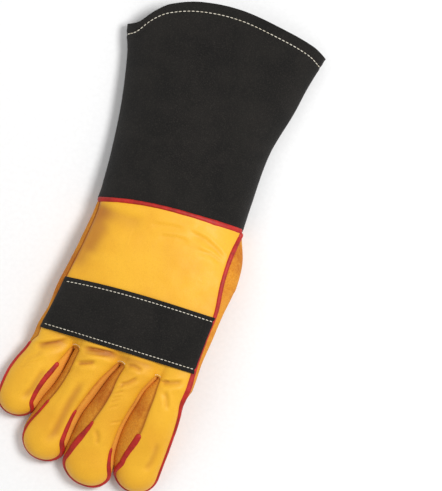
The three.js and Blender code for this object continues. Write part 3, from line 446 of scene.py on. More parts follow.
def hand_column(name, angle, kind):
    """One line down the hand that runs into a finger. kind is back or palm."""
    form = ROOTS[name]
    x = form["mid"] + form["half"] * math.cos(angle)
    share = clamp(x / PALM_WIDTH + 0.5, 0, 1)
    section = ROOT_SECTION
    if kind == "back":
        low = section["mid"] + section["half"] * section["seamLeft"]
        high = section["mid"] + section["half"] * section["seamRight"]
        place = ("back", clamp((x - low) / (high - low), 0, 1))
    elif math.sin(angle) > 0 and name == "index":
        place = ("right", 1 - math.sin(angle) / math.sin(form["rightTop"]))
    elif math.sin(angle) > 0 and name == "little":
        place = ("left", 1 - math.sin(angle) / math.sin(form["leftTop"]))
    else:
        place = ("palm", clamp((x - section["mid"]) / section["half"], -1, 1))
    return {"root": finger_point(form, angle), "share": share, "place": place}


def hand_point(column, row):
    y = row_height(row, column["share"])
    section = hand_section(y)
    side, share = column["place"]
    part = {
        "back": mix(section["seamLeft"], section["seamRight"], share),
        "left": mix(section["seamLeft"], -1, share),
        "right": mix(section["seamRight"], 1, share),
        "palm": share,
    }[side]
    on_hand = section_point(section, y, part, side != "palm", palm_layer)
    on_finger = column["root"].copy()
    on_finger.y = y
    return on_finger.lerp(on_hand, ease(y / (KNUCKLE_BLEND * PALM_LENGTH)))


def crotch_setback(t, row):
    """How far the leather between two fingers is set back in a rounded crotch"""
    return CROTCH_DEPTH * math.sqrt(max(4 * t * (1 - t), 0)) * (1 - ease(row / CROTCH_FADE))


def hand_line_point(columns, number, row):
    """Point of a numbered column. Between two fingers a column is a pair and a share."""
    column = columns[number]
    if isinstance(column, dict):
        return hand_point(column, row)
    left, right, t = column
    point = hand_point(left, row).lerp(hand_point(right, row), t)
    point.y += crotch_setback(t, row)
    return point


STRIP_STEPS = 6  # columns of the leather between two fingers


def hand_columns(order, counts, kind):
    """Columns across the hand, finger by finger, with those of the strips between them"""
    columns = []
    for name in order:
        start, stop = form_seams(ROOTS[name], name, kind)
        group = [hand_column(name, mix(start, stop, share), kind)
                 for share in shares(counts[name])]
        if columns:
            before = columns[-1]
            columns += [(before, group[0], s / STRIP_STEPS) for s in range(1, STRIP_STEPS)]
        columns += group
    return columns


def form_seams(form, name, kind):
    """Angles round a finger's section at which a piece of leather starts and stops"""
    if kind == "back":
        return form["leftTop"], form["rightTop"]
    start, stop = form["rightLow"], form["leftLow"] - 2 * math.pi
    if kind == "palm" and name == "index":
        start = form["rightTop"]
    if kind == "palm" and name == "little":
        stop = form["leftTop"] - 2 * math.pi
    return start, stop


def thumb_form(at, turn=0.0):
    values = read_row(THUMB, "at", at)
    shrink = max(math.cos(turn), 0)
    side = THUMB_HEIGHT * THUMB_SIDE
    return {
        "y": WEB * PALM_LENGTH - at * THUMB_LENGTH,
        "mid": values["mid"] * PALM_WIDTH,
        "half": values["half"] * THUMB_WIDTH * power(shrink, TIP_TAPER),
        "side": side,
        "up": (THUMB_HEIGHT - side) * power(shrink, THUMB_FALL),
        "down": (side + FLATTENED) * power(shrink, THUMB_FALL),
    }


def thumb_row(way):
    if way < THUMB_CAP_WAY:
        return thumb_form(THUMB_CAP * way / THUMB_CAP_WAY)
    turn = (way - THUMB_CAP_WAY) / (1 - THUMB_CAP_WAY) * math.pi / 2
    return thumb_form(mix(THUMB_CAP, 1, math.sin(turn)), turn)


def thumb_point(form, angle, upper):
    rise = abs(math.sin(angle)) ** THUMB_ROUND
    z = form["side"] + (form["up"] if upper else -form["down"]) * rise
    return Vector((form["mid"] + form["half"] * math.cos(angle), form["y"], max(z, 0)))


def heel_point(y, way):
    section = hand_section(y)
    edge = read_row(HEEL_EDGE, "at", y / PALM_LENGTH)
    start = (edge["across"] * PALM_WIDTH - section["mid"]) / section["half"]
    if way < HEEL_TURN:
        part = mix(start, 1, math.sin(way / HEEL_TURN * math.pi / 2))
        point = section_point(section, y, part, False, ground)
        point.z = max(point.z, ease(1 - way / HEEL_SLOPE) * edge["height"] * HAND_HEIGHT)
        return point
    part = mix(1, section["seamRight"], ((way - HEEL_TURN) / (1 - HEEL_TURN)) ** 2)
    return section_point(section, y, part, True, ground)


def thumb_root_point(row, way):
    wrist = wrist_at(mix(HEEL_LEFT, 1, way))
    y = row * mix(PALM_LENGTH, wrist, ease((row - WEB) / (1 - WEB)))
    on_thumb = thumb_point(thumb_form(0), math.pi * (1 - way), False)
    on_thumb.y = y
    return on_thumb.lerp(heel_point(y, way), ease((row - WEB) / (HEEL_START - WEB)))


def cuff_point(share, row, is_back):
    side = "back" if is_back else "front"
    mouth = PALM_LENGTH + CUFF_LENGTH * read(MOUTH, "across", side, share)
    return cuff_place(share, mix(wrist_at(share), mouth, row), is_back)


def cuff_place(share, y, is_back):
    values = read_row(CUFF, "at", (y - PALM_LENGTH) / CUFF_LENGTH)
    x = mix(values["left"], values["right"], share) * PALM_WIDTH
    bulge = power(4 * share * (1 - share), values["round"])
    edge = values["edge"] * HAND_HEIGHT
    if is_back:
        return Vector((x, y, mix(edge, values["crown"] * HAND_HEIGHT, bulge)))
    to_patch = y - wrist_at(share) - PATCH_DEPTH
    floor_height = PATCH_ROOM * ease((PATCH_SLOPE_END - to_patch) / PATCH_SLOPE)
    return Vector((x, y, max(edge - (edge - floor_height + FLATTENED) * bulge, floor_height)))


# Folds and dents of the leather as it lies, in the plan of the hand, with painted shade in them
# (broad painted shade along the hand's upper left edge). Each one has a width above and below
# its line, a depth and the strength of its painted shade, and then the points of its line.
FOLDS = [
    (1.5, 4, 1.7, 0.6, (-56.1, -8.8), (-52, -5.4), (-44.3, -1.1), (-33.4, 4.8)),
    (0.5, 0.7, 0.5, 0.35, (-52.1, -5.1), (-44.4, -1), (-38.2, 2.1)),
    (0.7, 1, 0.5, 0.22, (-60, -21.9), (-53.8, -16.2), (-46.7, -8)),
    (0.6, 0.9, 0.45, 0.2, (-59.5, -19.3), (-53, -13.2), (-49, -8.2)),
    (0.6, 0.9, 0.4, 0.18, (-61.1, -24.2), (-51.3, -18), (-47.9, -14.1)),
    (0.6, 0.9, 0.4, 0.15, (-61.8, -26.4), (-51.3, -20.6)),
    (2.6, 2.6, 1, 0.5, (-41.3, -17.5), (-44.4, -26.3), (-46.9, -37.9), (-52.4, -48.2)),
    (1.2, 3, 1.4, 0.5, (-24.5, 1.6), (-18.1, 4.1), (-5.8, 6.3), (3, 7.2)),
    (0.5, 0.8, 0.5, 0.35, (-19.5, 3.8), (-11.5, 5.8), (-1.1, 6.6)),
    (0.7, 1, 0.5, 0.25, (-22.3, -0.5), (-14.6, 1.1), (-2.3, 4.5)),
    (1, 2.6, 1.3, 0.5, (-24.6, -8.7), (-17, -5.5), (-9.9, -2.6)),
    (0.5, 0.7, 0.4, 0.3, (-23.4, -9.4), (-15.8, -6.3), (-10.9, -3.7)),
    (0.6, 0.9, 0.4, 0.15, (-30.1, -20.2), (-25.9, -15.8), (-23.7, -11.1)),
    (3, 3, 1.2, 0.55, (-10.4, -14.5), (-15.5, -23.1), (-18.7, -38.3), (-19.8, -49.9),
     (-21.2, -60.6), (-27, -72.8)),
    (0.9, 2.2, 1.1, 0.45, (9.3, 2.1), (15.5, 3.7), (23.2, 2.3)),
    (0.9, 2, 1.2, 0.5, (9.2, -12.5), (14.9, -9.4), (21.2, -2.7)),
    (0.6, 0.9, 0.6, 0.3, (7.3, -16.5), (13.9, -11.9)),
    (0.6, 0.9, 0.6, 0.3, (7, -20.9), (15.6, -15.2)),
    (0.6, 0.9, 0.5, 0.25, (7.9, -23.4), (15.1, -19.2)),
    (0.6, 0.9, 0.5, 0.25, (8, -26.9), (14.4, -21.4)),
    (0.6, 0.9, 0.4, 0.2, (7.9, -31.5), (14.8, -26.3)),
    (0.6, 0.9, 0.5, 0.22, (12.2, -40.6), (22.5, -35.6)),
    (1.6, 1.6, 0.7, 0.32, (4.5, -47.3), (8.4, -52.7), (10.1, -59.3)),
    (1.1, 2.8, 1.4, 0.5, (35.7, -0.9), (42.6, 1), (52.7, 5.3)),
    (0.5, 0.7, 0.4, 0.28, (36.4, -0.1), (43.3, 1.9)),
    (1.5, 2, 0.8, 0.32, (40.9, -5), (45, -10.3), (48.6, -18.7)),
    (2.4, 2.4, 0.9, 0.4, (49.4, -40.2), (50.6, -49), (50.1, -56.9), (47.2, -66.2)),
    (1.6, 3, 0.4, 0.45, (-29.5, 4.7), (-5.5, 5.3), (18.2, 6.9), (36.9, 8.8)),
    (1.2, 2, 0.3, 0.3, (-54.1, 4.5), (-39.7, 6.2), (-30, 6)),
    (4, 8, 0.8, 0.36, (-56, 98.5), (-36.6, 98.8), (-21.9, 99.5), (-8, 101)),
    (9.5, 6, 0.7, 0.6, (-47.5, 112), (-46.5, 90), (-48, 71.4), (-50.6, 46)),
    (5, 5, 0.4, 0.25, (-35.6, 92.3), (-39.4, 81), (-41.9, 65)),
    (1.4, 3.4, 0.9, 0.22, (17.5, 106.2), (32.1, 104.5), (43, 100), (52.2, 93.4)),
    (1.2, 2.6, 0.7, 0.16, (27.1, 95.9), (39.3, 95.7), (51.3, 91.7)),
    (1.6, 3, 0.5, 0.12, (-8.5, 101), (3.2, 104), (17.5, 106.2)),
    (1.4, 3, 0.5, 0.12, (-0.6, 95.2), (12.1, 98.6), (23.7, 98.8)),
]

# The same on the palm side. Their darkness is partly painted shade in the folds and partly
# stains; stains and brushed nap count as folds without depth
FRONT_FOLDS = [
    (3.6, 5.76, 1.3, 0.55, (3, 60.5), (53, 66)),
    (2.6, 4.16, 0.9, 0.4, (6, 87.5), (24, 83)),
    (5, 5, 0.5, 0.3, (26, 34), (44, 12)),
    (4.5, 4.5, 0.4, 0.25, (-6, 10), (8, 24)),
    (5, 8, 0.4, 0.45, (30, 92), (56, 104)),
    (9, 9, 0.2, 0.55, (-50, 84), (-42, 48)),
    (8, 8, 0.2, 0.25, (-46, 40), (-30, 64)),
    (6, 9.6, 0.3, 0.3, (-50, 104), (-20, 98)),
    (2.6, 4.16, 0.9, 0.35, (-47, 5.5), (-8, 9.5)),
    (3.5, 5.6, 0.5, 0.22, (-52, -12), (-36, -7)),
    (4, 6.4, 0.5, 0.28, (-60, -36), (-48, -32)),
    (4.5, 7.2, 0.6, 0.45, (-39, -66), (-13, -68)),
    (2.5, 2.5, 0.3, 0.32, (-24, -14), (-28, -42)),
    (5, 8, 0.6, 0.5, (-3, -75), (23, -75)),
    (4, 4, 0.3, 0.38, (10, -14), (2, -32)),
    (4, 4, 0.3, 0.34, (13, -40), (11, -58)),
    (4, 4, 0.7, 0.6, (46, -18), (37, -64)),
    (2.6, 2.6, 0.5, 0.3, (34, -4), (42, -22)),
    (3, 4.8, 0.6, 0.32, (40, 30), (58, 33)),
    (2.6, 4.16, 0.5, 0.35, (-38, 123), (6, 131)),
    (2.6, 4.16, 0.4, 0.45, (-44, 118), (-20, 121)),
    (3, 4.8, 0.5, 0.25, (4, 126), (40, 131)),
]

LIP_AT = 1.9  # a fold's raised lips stand this many widths beside it
LIP = 0.4  # and this share of its depth high
FOLD_REACH = 3  # widths from its line at which a fold has no effect
FOLD_END = 0.25  # share of a fold's length over which each end fades
# spread of the painted shade across a fold (and of stains on the palm side)
FOLD_DARK = 0.8


def nearest_on(line, x, y):
    """Distance to a line, positive on its left, and how far along it the nearest place is"""
    best = None
    done = 0
    for (x1, y1), (x2, y2) in zip(line, line[1:]):
        dx, dy = x2 - x1, y2 - y1
        length = math.hypot(dx, dy)
        t = clamp(((x - x1) * dx + (y - y1) * dy) / length ** 2, 0, 1)
        away = math.hypot(x - x1 - t * dx, y - y1 - t * dy)
        if best is None or away < abs(best[0]):
            side = (y - y1) * dx - (x - x1) * dy
            best = (math.copysign(away, side), done + t * length)
        done += length
    return best[0], best[1] / done


def fold_at(rows, x, y):
    """Depth of the folds at a place seen from above, and their painted shade (with stains on the
    palm side)
    """
    total = 0
    painted_shade_and_stain = 0
    for upper, lower, depth, shade, *line in rows:
        reach = FOLD_REACH * max(upper, lower)
        if not min(p[0] for p in line) - reach < x < max(p[0] for p in line) + reach:
            continue
        if not min(p[1] for p in line) - reach < y < max(p[1] for p in line) + reach:
            continue
        across, along = nearest_on(line, x, y)
        b = across / (upper if across > 0 else lower)
        fade = ease(along / FOLD_END) * ease((1 - along) / FOLD_END)
        total += depth * fade * (math.exp(-b * b) - LIP * math.exp(-(abs(b) - LIP_AT) ** 2))
        painted_shade_and_stain += shade * fade * math.exp(-b * b * FOLD_DARK)
    return total, painted_shade_and_stain


def unevenness(point, swells):
    """Smooth swells of the leather, each given by millimetres apart, a seed and a share"""
    return sum(share * noise.noise(point / size + Vector((seed, 2 * seed, 3 * seed)))
               for size, seed, share in swells)


def grid(bm, columns, rows, place):
    """A grid of cells. place gives a point for a column number and a share of the rows."""
    made = bmesh.ops.create_grid(bm, x_segments=columns, y_segments=rows, size=1)
    for vert in made["verts"]:
        number = round((vert.co.x + 1) / 2 * columns)
        vert.co = place(number, (vert.co.y + 1) / 2)


WELD = 0.02  # grid points closer than this are one


def add_mesh(name, bm, material):
    """The finished mesh in the frame's metres, as a piece that rides on the glove"""
    bmesh.ops.translate(bm, verts=bm.verts, vec=TO_FRAME)
    bmesh.ops.scale(bm, verts=bm.verts, vec=(MM, MM, MM))
    for face in bm.faces:
        face.smooth = True
    mesh = bpy.data.meshes.new(name)
    bm.to_mesh(mesh)
    bm.free()
    mesh.materials.append(material)
    piece = bpy.data.objects.new(name, mesh)
    bpy.context.scene.collection.objects.link(piece)
    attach(piece, "root")
    return piece


SEAM_WIDTH = 3.2  # the leather swells up from a seam within this distance
SEAM_SWELL = 0.6  # by this much
SEAM_LINE = 0.8  # and painted shade darkens it this close to it
SEAM_SHADE = 0.6
SEAM_FREE = 5  # folds and unevenness have their full depth this far from a seam
FOLD_AT_SEAM = 0.2  # share of a fold's depth at the seam itself
UNEVEN = ((26, 3, 1), (11, 7, 0.45))
GROOVE_DEPTH = 0.35  # a row of stitches pulls the leather in
GROOVE_WIDTH = 0.9
# painted shade in the groove
GROOVE_SHADE = 0.3
RIDGE_HEIGHT = 0.18  # and it stands up on both sides of the row
RIDGE_AT = 2.4
RIDGE_WIDTH = 1.3
TURN_FADE = 2  # the larger these are, the sooner a fold's depth and the painted shade and light reach their full strength where the leather turns towards their direction
SIDE_FADE = 4  # the leather turns towards its direction
CUT_EDGE = 0.3  # radius of a cut edge
CUT_ANGLE = math.radians(60)
SURFACES = {}  # the outer surface of each piece of leather


def flat(point):
    return Vector((point.x, point.y, 0))


def finder(points):
    """Tree that finds the nearest of some points"""
    tree = KDTree(max(len(points), 1))
    for k, co in enumerate(points):
        tree.insert(co, k)
    tree.balance()
    return tree


def leather(name, bm, material, wall, is_open=None, folds=FRONT_FOLDS, swell=0.35,
            lift=0.0, puff=SEAM_SWELL, grooves=(), painted_shade_left_faces=0.0, painted_light_right_faces=0.0):
    """Turns a grid into a piece of leather: it swells up beside its seams, folds, and gets
    a wall and rounded edges. is_open says where an edge is left as it was cut."""
    bmesh.ops.remove_doubles(bm, verts=bm.verts, dist=WELD)
    bm.normal_update()
    rim = {v for e in bm.edges if e.is_boundary for v in e.verts}
    sewn = [v.co.copy() for v in rim if not (is_open and is_open(v.co))]
    seams = finder(sewn)
    rows = finder([flat(point) for line in grooves for point in line])
    # per point: painted shade in folds, at seams and in stitch grooves, painted light and shade on
    # the sides, and stains on the palm side
    painted_light_shade_stain = bm.verts.layers.float.new("painted_light_shade_stain")
    facing = 1 if folds is FOLDS else -1
    moves = []
    for vert in bm.verts:
        co = vert.co
        near = seams.find(co)[2] if sewn else math.inf
        turned = max(1 - near / SEAM_WIDTH, 0)
        depth, shade = fold_at(folds, co.x, co.y)
        top = ease(vert.normal.z * facing * TURN_FADE)
        free = ease(near / SEAM_FREE)
        amount = lift + puff * (1 - turned ** 2) - depth * top * mix(FOLD_AT_SEAM, 1, free)
        amount += swell * free * unevenness(co, UNEVEN)
        # painted shade of the folds (with the palm's stains) and painted shade along the seam
        painted_shade_and_stain = shade * top + SEAM_SHADE * math.exp(-(near / SEAM_LINE) ** 2)
        # painted shade on faces turned left, away from the key light, and painted light on faces
        # turned right, towards it
        upward = ease(vert.normal.z * SIDE_FADE)
        painted_shade_and_stain += painted_shade_left_faces * ease(-vert.normal.x * TURN_FADE) * upward
        painted_shade_and_stain -= painted_light_right_faces * ease(vert.normal.x * TURN_FADE) * upward
        if grooves:
            off = rows.find(flat(co))[2]
            dip = math.exp(-(off / GROOVE_WIDTH) ** 2)
            ridge = math.exp(-((off - RIDGE_AT) / RIDGE_WIDTH) ** 2)
            amount += RIDGE_HEIGHT * ridge - GROOVE_DEPTH * dip
            painted_shade_and_stain += GROOVE_SHADE * dip
        vert[painted_light_shade_stain] = clamp(painted_shade_and_stain, -1, 1)
        moves.append(vert.normal * amount)
    for vert, move in zip(bm.verts, moves):
        vert.co += move
        vert.co.z = max(vert.co.z, 0)
    bm.normal_update()
    SURFACES[name] = BVHTree.FromBMesh(bm)
    piece = add_mesh(name, bm, material)
    solid = piece.modifiers.new("wall", "SOLIDIFY")
    solid.thickness = wall * MM
    solid.offset = -1
    edge = piece.modifiers.new("cut_edge", "BEVEL")
    edge.width = CUT_EDGE * MM
    edge.segments = 2
    edge.limit_method = "ANGLE"
    edge.angle_limit = CUT_ANGLE
    return piece


# Materials
def linear(code):
    """Linear colour of an sRGB hex code"""
    parts = [int(code[k:k + 2], 16) / 255 for k in (1, 3, 5)]
    return (*[c / 12.92 if c < 0.04045 else ((c + 0.055) / 1.055) ** 2.4 for c in parts], 1)


def add_node(tree, kind, inputs=None, output=0, **settings):
    """Adds a node with its settings, values and links, and gives one of its outputs"""
    node = tree.nodes.new(kind)
    for name, value in settings.items():
        setattr(node, name, value)
    for name, value in (inputs or {}).items():
        if isinstance(value, bpy.types.NodeSocket):
            tree.links.new(value, node.inputs[name])
        else:
            node.inputs[name].default_value = value
    return None if output is None else node.outputs[output]


def per_metre(size_mm):
    """Scale of a pattern whose features are this many millimetres apart"""
    return 1 / (size_mm * MM)


def start_material(name, noises):
    """A new material with its noise patterns, each given by the millimetres between its
    features and by its detail, roughness and distortion"""
    material = bpy.data.materials.new(name)
    material.use_nodes = True
    tree = material.node_tree
    tree.nodes.clear()
    where = add_node(tree, "ShaderNodeTexCoord", output="Object")
    patterns = [
        add_node(tree, "ShaderNodeTexNoise", {
            "Vector": where, "Scale": per_metre(size), "Detail": detail,
            "Roughness": roughness, "Distortion": distortion,
        })
        for size, detail, roughness, distortion in noises
    ]
    return material, tree, where, patterns


def tinted(tree, colour, code, pattern, low, high, at_low=0.0, at_high=1.0):
    """The colour with a share of another one, which goes from at_low to at_high where the
    pattern's value goes from low to high"""
    share = add_node(tree, "ShaderNodeMapRange", {
        "Value": pattern, "From Min": low, "From Max": high, "To Min": at_low, "To Max": at_high,
    }, interpolation_type="SMOOTHSTEP")
    return add_node(tree, "ShaderNodeMix", {0: share, 6: colour, 7: linear(code)}, 2,
                    data_type="RGBA")


def relief(tree, layers):
    """Surface raised by patterns in turn, each with its strength and height in millimetres"""
    normal = None
    for pattern, strength, height in layers:
        inputs = {"Height": pattern, "Strength": strength, "Distance": height * MM}
        if normal:
            inputs["Normal"] = normal
        normal = add_node(tree, "ShaderNodeBump", inputs)
    return normal


def finish_material(material, tree, settings):
    shader = add_node(tree, "ShaderNodeBsdfPrincipled", settings)
    add_node(tree, "ShaderNodeOutputMaterial", {"Surface": shader}, None)
    return material


def yellow_grain_leather():
    """Smooth cowhide, dyed yellow and lightly finished: a soft satin with pores and fine
    creases, with painted shade browner where it folds and beside its seams"""
    material, tree, where, (cloud, lines, polish) = start_material("yellow_grain_leather", (
        (34, 4, 0.5, 0), (5.5, 5, 0.6, 0.8), (9, 3, 0.55, 0),
    ))
    painted_light_shade_stain = add_node(tree, "ShaderNodeAttribute", output="Fac", attribute_name="painted_light_shade_stain")
    # Real pores are about 0.4 mm apart. They are drawn coarser, so that they show.
    pores = add_node(tree, "ShaderNodeTexVoronoi", {
        "Vector": where, "Scale": per_metre(1.1), "Randomness": 1,
    }, feature="DISTANCE_TO_EDGE")
    colour = tinted(tree, linear("#F2B526"), "#EAA921", cloud, 0.35, 0.7)
    colour = tinted(tree, colour, "#C07F1E", pores, 0, 0.16, 0.16, 0)
    # painted shade: browner in folds, beside seams and in stitch grooves
    colour = tinted(tree, colour, "#AD6520", painted_light_shade_stain, 0.02, 0.95, 0, 0.88)
    pebble = add_node(tree, "ShaderNodeMapRange", {
        "Value": pores, "From Min": 0, "From Max": 0.22,
    }, interpolation_type="SMOOTHSTEP")
    satin = add_node(tree, "ShaderNodeMapRange", {
        "Value": polish, "From Min": 0.3, "From Max": 0.7, "To Min": 0.46, "To Max": 0.60,
    }, interpolation_type="SMOOTHSTEP")
    return finish_material(material, tree, {
        "Base Color": colour, "Roughness": satin,
        "Normal": relief(tree, ((pebble, 0.22, 0.10), (lines, 0.30, 0.55))),
        "Specular IOR Level": 0.38, "Sheen Weight": 0.06, "Sheen Roughness": 0.5,
    })


def orange_split_suede():
    """Split cowhide, dyed golden orange: a matt fibrous nap that brushes lighter and darker,
    with darker stained patches. The real fibres are about 0.2 mm apart and are drawn coarser,
    so that they show."""
    material, tree, _, (patch, brushed, fibres) = start_material("orange_split_suede", (
        (30, 5, 0.62, 0.6), (4, 4, 0.65, 1.2), (0.9, 4, 0.7, 0.5),
    ))
    painted_light_shade_stain = add_node(tree, "ShaderNodeAttribute", output="Fac", attribute_name="painted_light_shade_stain")
    colour = tinted(tree, linear("#E4992C"), "#C26C1E", patch, 0.44, 0.66)
    colour = tinted(tree, colour, "#F0AC48", brushed, 0.3, 0.72, 0, 0.42)
    colour = tinted(tree, colour, "#A8541A", fibres, 0.36, 0.66, 0.42, 0)
    # painted light: more golden on sides turned towards the key light
    colour = tinted(tree, colour, "#F0A845", painted_light_shade_stain, -1, 0, 0.9, 0)
    # painted shade in folds, at seams, in stitch grooves and on sides turned from the light, mixed
    # with real stains
    colour = tinted(tree, colour, "#7A3212", painted_light_shade_stain, 0.02, 0.95, 0, 0.85)
    return finish_material(material, tree, {
        "Base Color": colour, "Roughness": 0.95,
        "Normal": relief(tree, ((fibres, 0.55, 0.5), (brushed, 0.25, 0.6))),
        "Specular IOR Level": 0.12, "Sheen Weight": 0.22, "Sheen Roughness": 0.6,
        "Sheen Tint": linear("#F2B060"),
    })


def black_split_suede():
    """Split cowhide, dyed black: matt with a short grey nap, whose fibres are also drawn
    coarser than they are"""
    material, tree, _, (cloud, fibres, hollows) = start_material("black_split_suede", (
        (26, 4, 0.6, 0.4), (0.8, 4, 0.72, 0.4), (5, 3, 0.55, 0),
    ))
    painted_light_shade_stain = add_node(tree, "ShaderNodeAttribute", output="Fac", attribute_name="painted_light_shade_stain")
    colour = tinted(tree, linear("#151413"), "#1E1C1A", cloud, 0.3, 0.7)
    colour = tinted(tree, colour, "#45413B", fibres, 0.45, 0.78, 0, 0.40)
    # painted shade at seams and in the stitch grooves
    colour = tinted(tree, colour, "#0E0D0C", painted_light_shade_stain, 0.02, 0.95, 0, 0.8)
    return finish_material(material, tree, {
        "Base Color": colour, "Roughness": 0.93,
        "Normal": relief(tree, ((fibres, 0.6, 0.45), (hollows, 0.22, 0.6))),
        "Specular IOR Level": 0.15, "Sheen Weight": 0.10, "Sheen Roughness": 0.55,
    })


def red_welt_leather():
    """Thin red leather folded round the seams: a little gloss, darker in its pits"""
    material, tree, _, (cloud, pits) = start_material("red_welt_leather", (
        (7, 4, 0.6, 0), (1.2, 3, 0.6, 0),
    ))
    colour = tinted(tree, linear("#C1271F"), "#9A1E18", cloud, 0.3, 0.72)
    colour = tinted(tree, colour, "#7C1A18", pits, 0.3, 0.5, 0.35, 0)
    return finish_material(material, tree, {
        "Base Color": colour, "Roughness": 0.52, "Normal": relief(tree, ((pits, 0.35, 0.3),)),
        "Specular IOR Level": 0.35,
    })


def cream_thread():
    """Twisted bonded thread, cream, slightly soiled"""
    material, tree, where, (soil,) = start_material("cream_thread", ((3, 3, 0.55, 0),))
    twist = add_node(tree, "ShaderNodeTexWave", {
        "Vector": where, "Scale": per_metre(2.2), "Distortion": 0.6,
    }, "Fac", bands_direction="DIAGONAL")
    return finish_material(material, tree, {
        "Base Color": tinted(tree, linear("#EFE9DA"), "#CFC4AC", soil, 0.3, 0.75),
        "Roughness": 0.7, "Normal": relief(tree, ((twist, 0.4, 0.1),)),
    })


def seamless_paper():
    """Matt white paper under the glove"""
    material, tree, _, (fine,) = start_material("seamless_paper", ((3, 3, 0.55, 0),))
    return finish_material(material, tree, {
        "Base Color": tinted(tree, linear("#F6F6F6"), "#F3F3F3", fine, 0.3, 0.7),
        "Roughness": 0.9, "Specular IOR Level": 0.1,
    })


GRAIN_YELLOW = yellow_grain_leather()
SUEDE_ORANGE = orange_split_suede()
SUEDE_BLACK = black_split_suede()
WELT_RED = red_welt_leather()
THREAD = cream_thread()

# Numbers of cells
FINGER_CELLS = {"little": 34, "ring": 38, "middle": 38, "index": 38}
FRONT_CELLS = {"little": 44, "ring": 30, "middle": 30, "index": 48}
HAND_CELLS = 120
BAND_CELLS = 44
WELT_SIDE_CELLS = 5  # rows between the crotches and the welt under the palm
FINGER_LENGTH_CELLS = {"little": 76, "ring": 96, "middle": 100, "index": 96}
STRIP_CELLS = 14
THUMB_CELLS = 44
THUMB_LENGTH_CELLS = 60
THUMB_ROOT_CELLS = 30
CUFF_CELLS = (110, 116)
PATCH_CELLS = (70, 24)
STRAP_CELLS = (90, 16)


def add_hand_grid(bm, columns, rows, first, last):
    grid(bm, len(columns) - 1, rows,
         lambda number, way: hand_line_point(columns, number, mix(first, last, way)))


def add_finger_grid(bm, name, kind, cells):
    def place(number, way):
        form = finger_row(name, 1 - way)
        start, stop = form_seams(form, name, kind)
        return finger_point(form, mix(start, stop, number / cells))

    grid(bm, cells, FINGER_LENGTH_CELLS[name], place)


BACK_COLUMNS = hand_columns(FINGERS, FINGER_CELLS, "back")


def level(bm, verts, rounds):
    """Smooths the heights of a piece's points and leaves their places in plan"""
    for _ in range(rounds):
        bmesh.ops.smooth_vert(bm, verts=list(verts), factor=0.5, use_axis_z=True)


LAID_GAP = 0.1  # between a piece and the leather that it is sewn onto
EDGE_REACH = 0.5  # a point this close to the band's long edges is on one
BAND_LEVELLING = 60
BAND_SIDE = 5  # the band keeps the hand's shape this close to its ends
KNUCKLE_LEVELLING = 14
KNUCKLES = (3.5, 30)  # heights above the crotches between which the back is levelled


def back():
    bm = bmesh.new()
    add_hand_grid(bm, BACK_COLUMNS, HAND_CELLS, 0, 1)
    for name in FINGERS:
        add_finger_grid(bm, name, "back", FINGER_CELLS[name])
    bmesh.ops.remove_doubles(bm, verts=bm.verts, dist=WELD)
    low, high = KNUCKLES
    inner = [v for v in bm.verts if low < v.co.y < high and not v.is_boundary]
    level(bm, inner, KNUCKLE_LEVELLING)
    piece = leather("hand_back", bm, GRAIN_YELLOW, GRAIN, folds=FOLDS)
    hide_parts("back")


def band_line(row, inset):
    """Line across the band at a row, moved by an inset towards the wrist"""
    line = [hand_line_point(BACK_COLUMNS, k, row) for k in range(len(BACK_COLUMNS))]
    return [Vector((p.x, p.y + inset, 0)) for p in line[2:-2]]


BAND_STITCH_INSET = 3.1
BAND_STITCHES = [
    band_line(BAND_ROWS[1], -BAND_STITCH_INSET), band_line(BAND_ROWS[0], BAND_STITCH_INSET),
]


def knuckle_band():
    bm = bmesh.new()
    add_hand_grid(bm, BACK_COLUMNS, BAND_CELLS, *BAND_ROWS)
    inner = []
    for vert in bm.verts:
        section = hand_section(vert.co.y)
        low = section["mid"] + section["half"] * section["seamLeft"] + BAND_SIDE
        high = section["mid"] + section["half"] * section["seamRight"] - BAND_SIDE
        if low < vert.co.x < high:
            inner.append(vert)
    level(bm, inner, BAND_LEVELLING)
    edges = finder([point for row in BAND_ROWS for point in band_line(row, 0)])
    piece = leather("band", bm, SUEDE_BLACK, BAND_SUEDE,
                    is_open=lambda co: edges.find(flat(co))[2] < EDGE_REACH,
                    folds=(), lift=BAND_SUEDE + LAID_GAP, grooves=BAND_STITCHES)
    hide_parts("knuckle_band")


PALM_ORDER = ["index", "middle", "ring", "little"]
MIDDLE_COLUMNS = hand_columns(PALM_ORDER[1:3], FRONT_CELLS, "palm")
SIDE_WALL_FROM = 16.5  # above this height the palm's side wall goes past the hole
SIDE_TUCK = 2  # and ends this far under the heel of the thumb's piece
SNAP = 2  # a new edge point this close to the hole's line is laid on it


def in_hole(point):
    """True over the thumb hole and the heel of the hand"""
    end = HOLE_LINE[-1]
    side_end = HOLE_END * PALM_LENGTH + SIDE_TUCK
    if point.z > SIDE_WALL_FROM and point.x > end.x - PALM_WIDTH / 4:
        return point.y > side_end
    outline = [*HOLE_LINE, Vector((end.x, side_end, 0)), Vector((2 * PALM_WIDTH, side_end, 0)),
               Vector((2 * PALM_WIDTH, 2 * PALM_LENGTH, 0)),
               Vector((HOLE_LINE[0].x, 2 * PALM_LENGTH, 0))]
    inside = False
    for a, b in zip(outline, [*outline[1:], outline[0]]):
        if (a.y > point.y) != (b.y > point.y):
            if point.x < a.x + (b.x - a.x) * (point.y - a.y) / (b.y - a.y):
                inside = not inside
    return inside


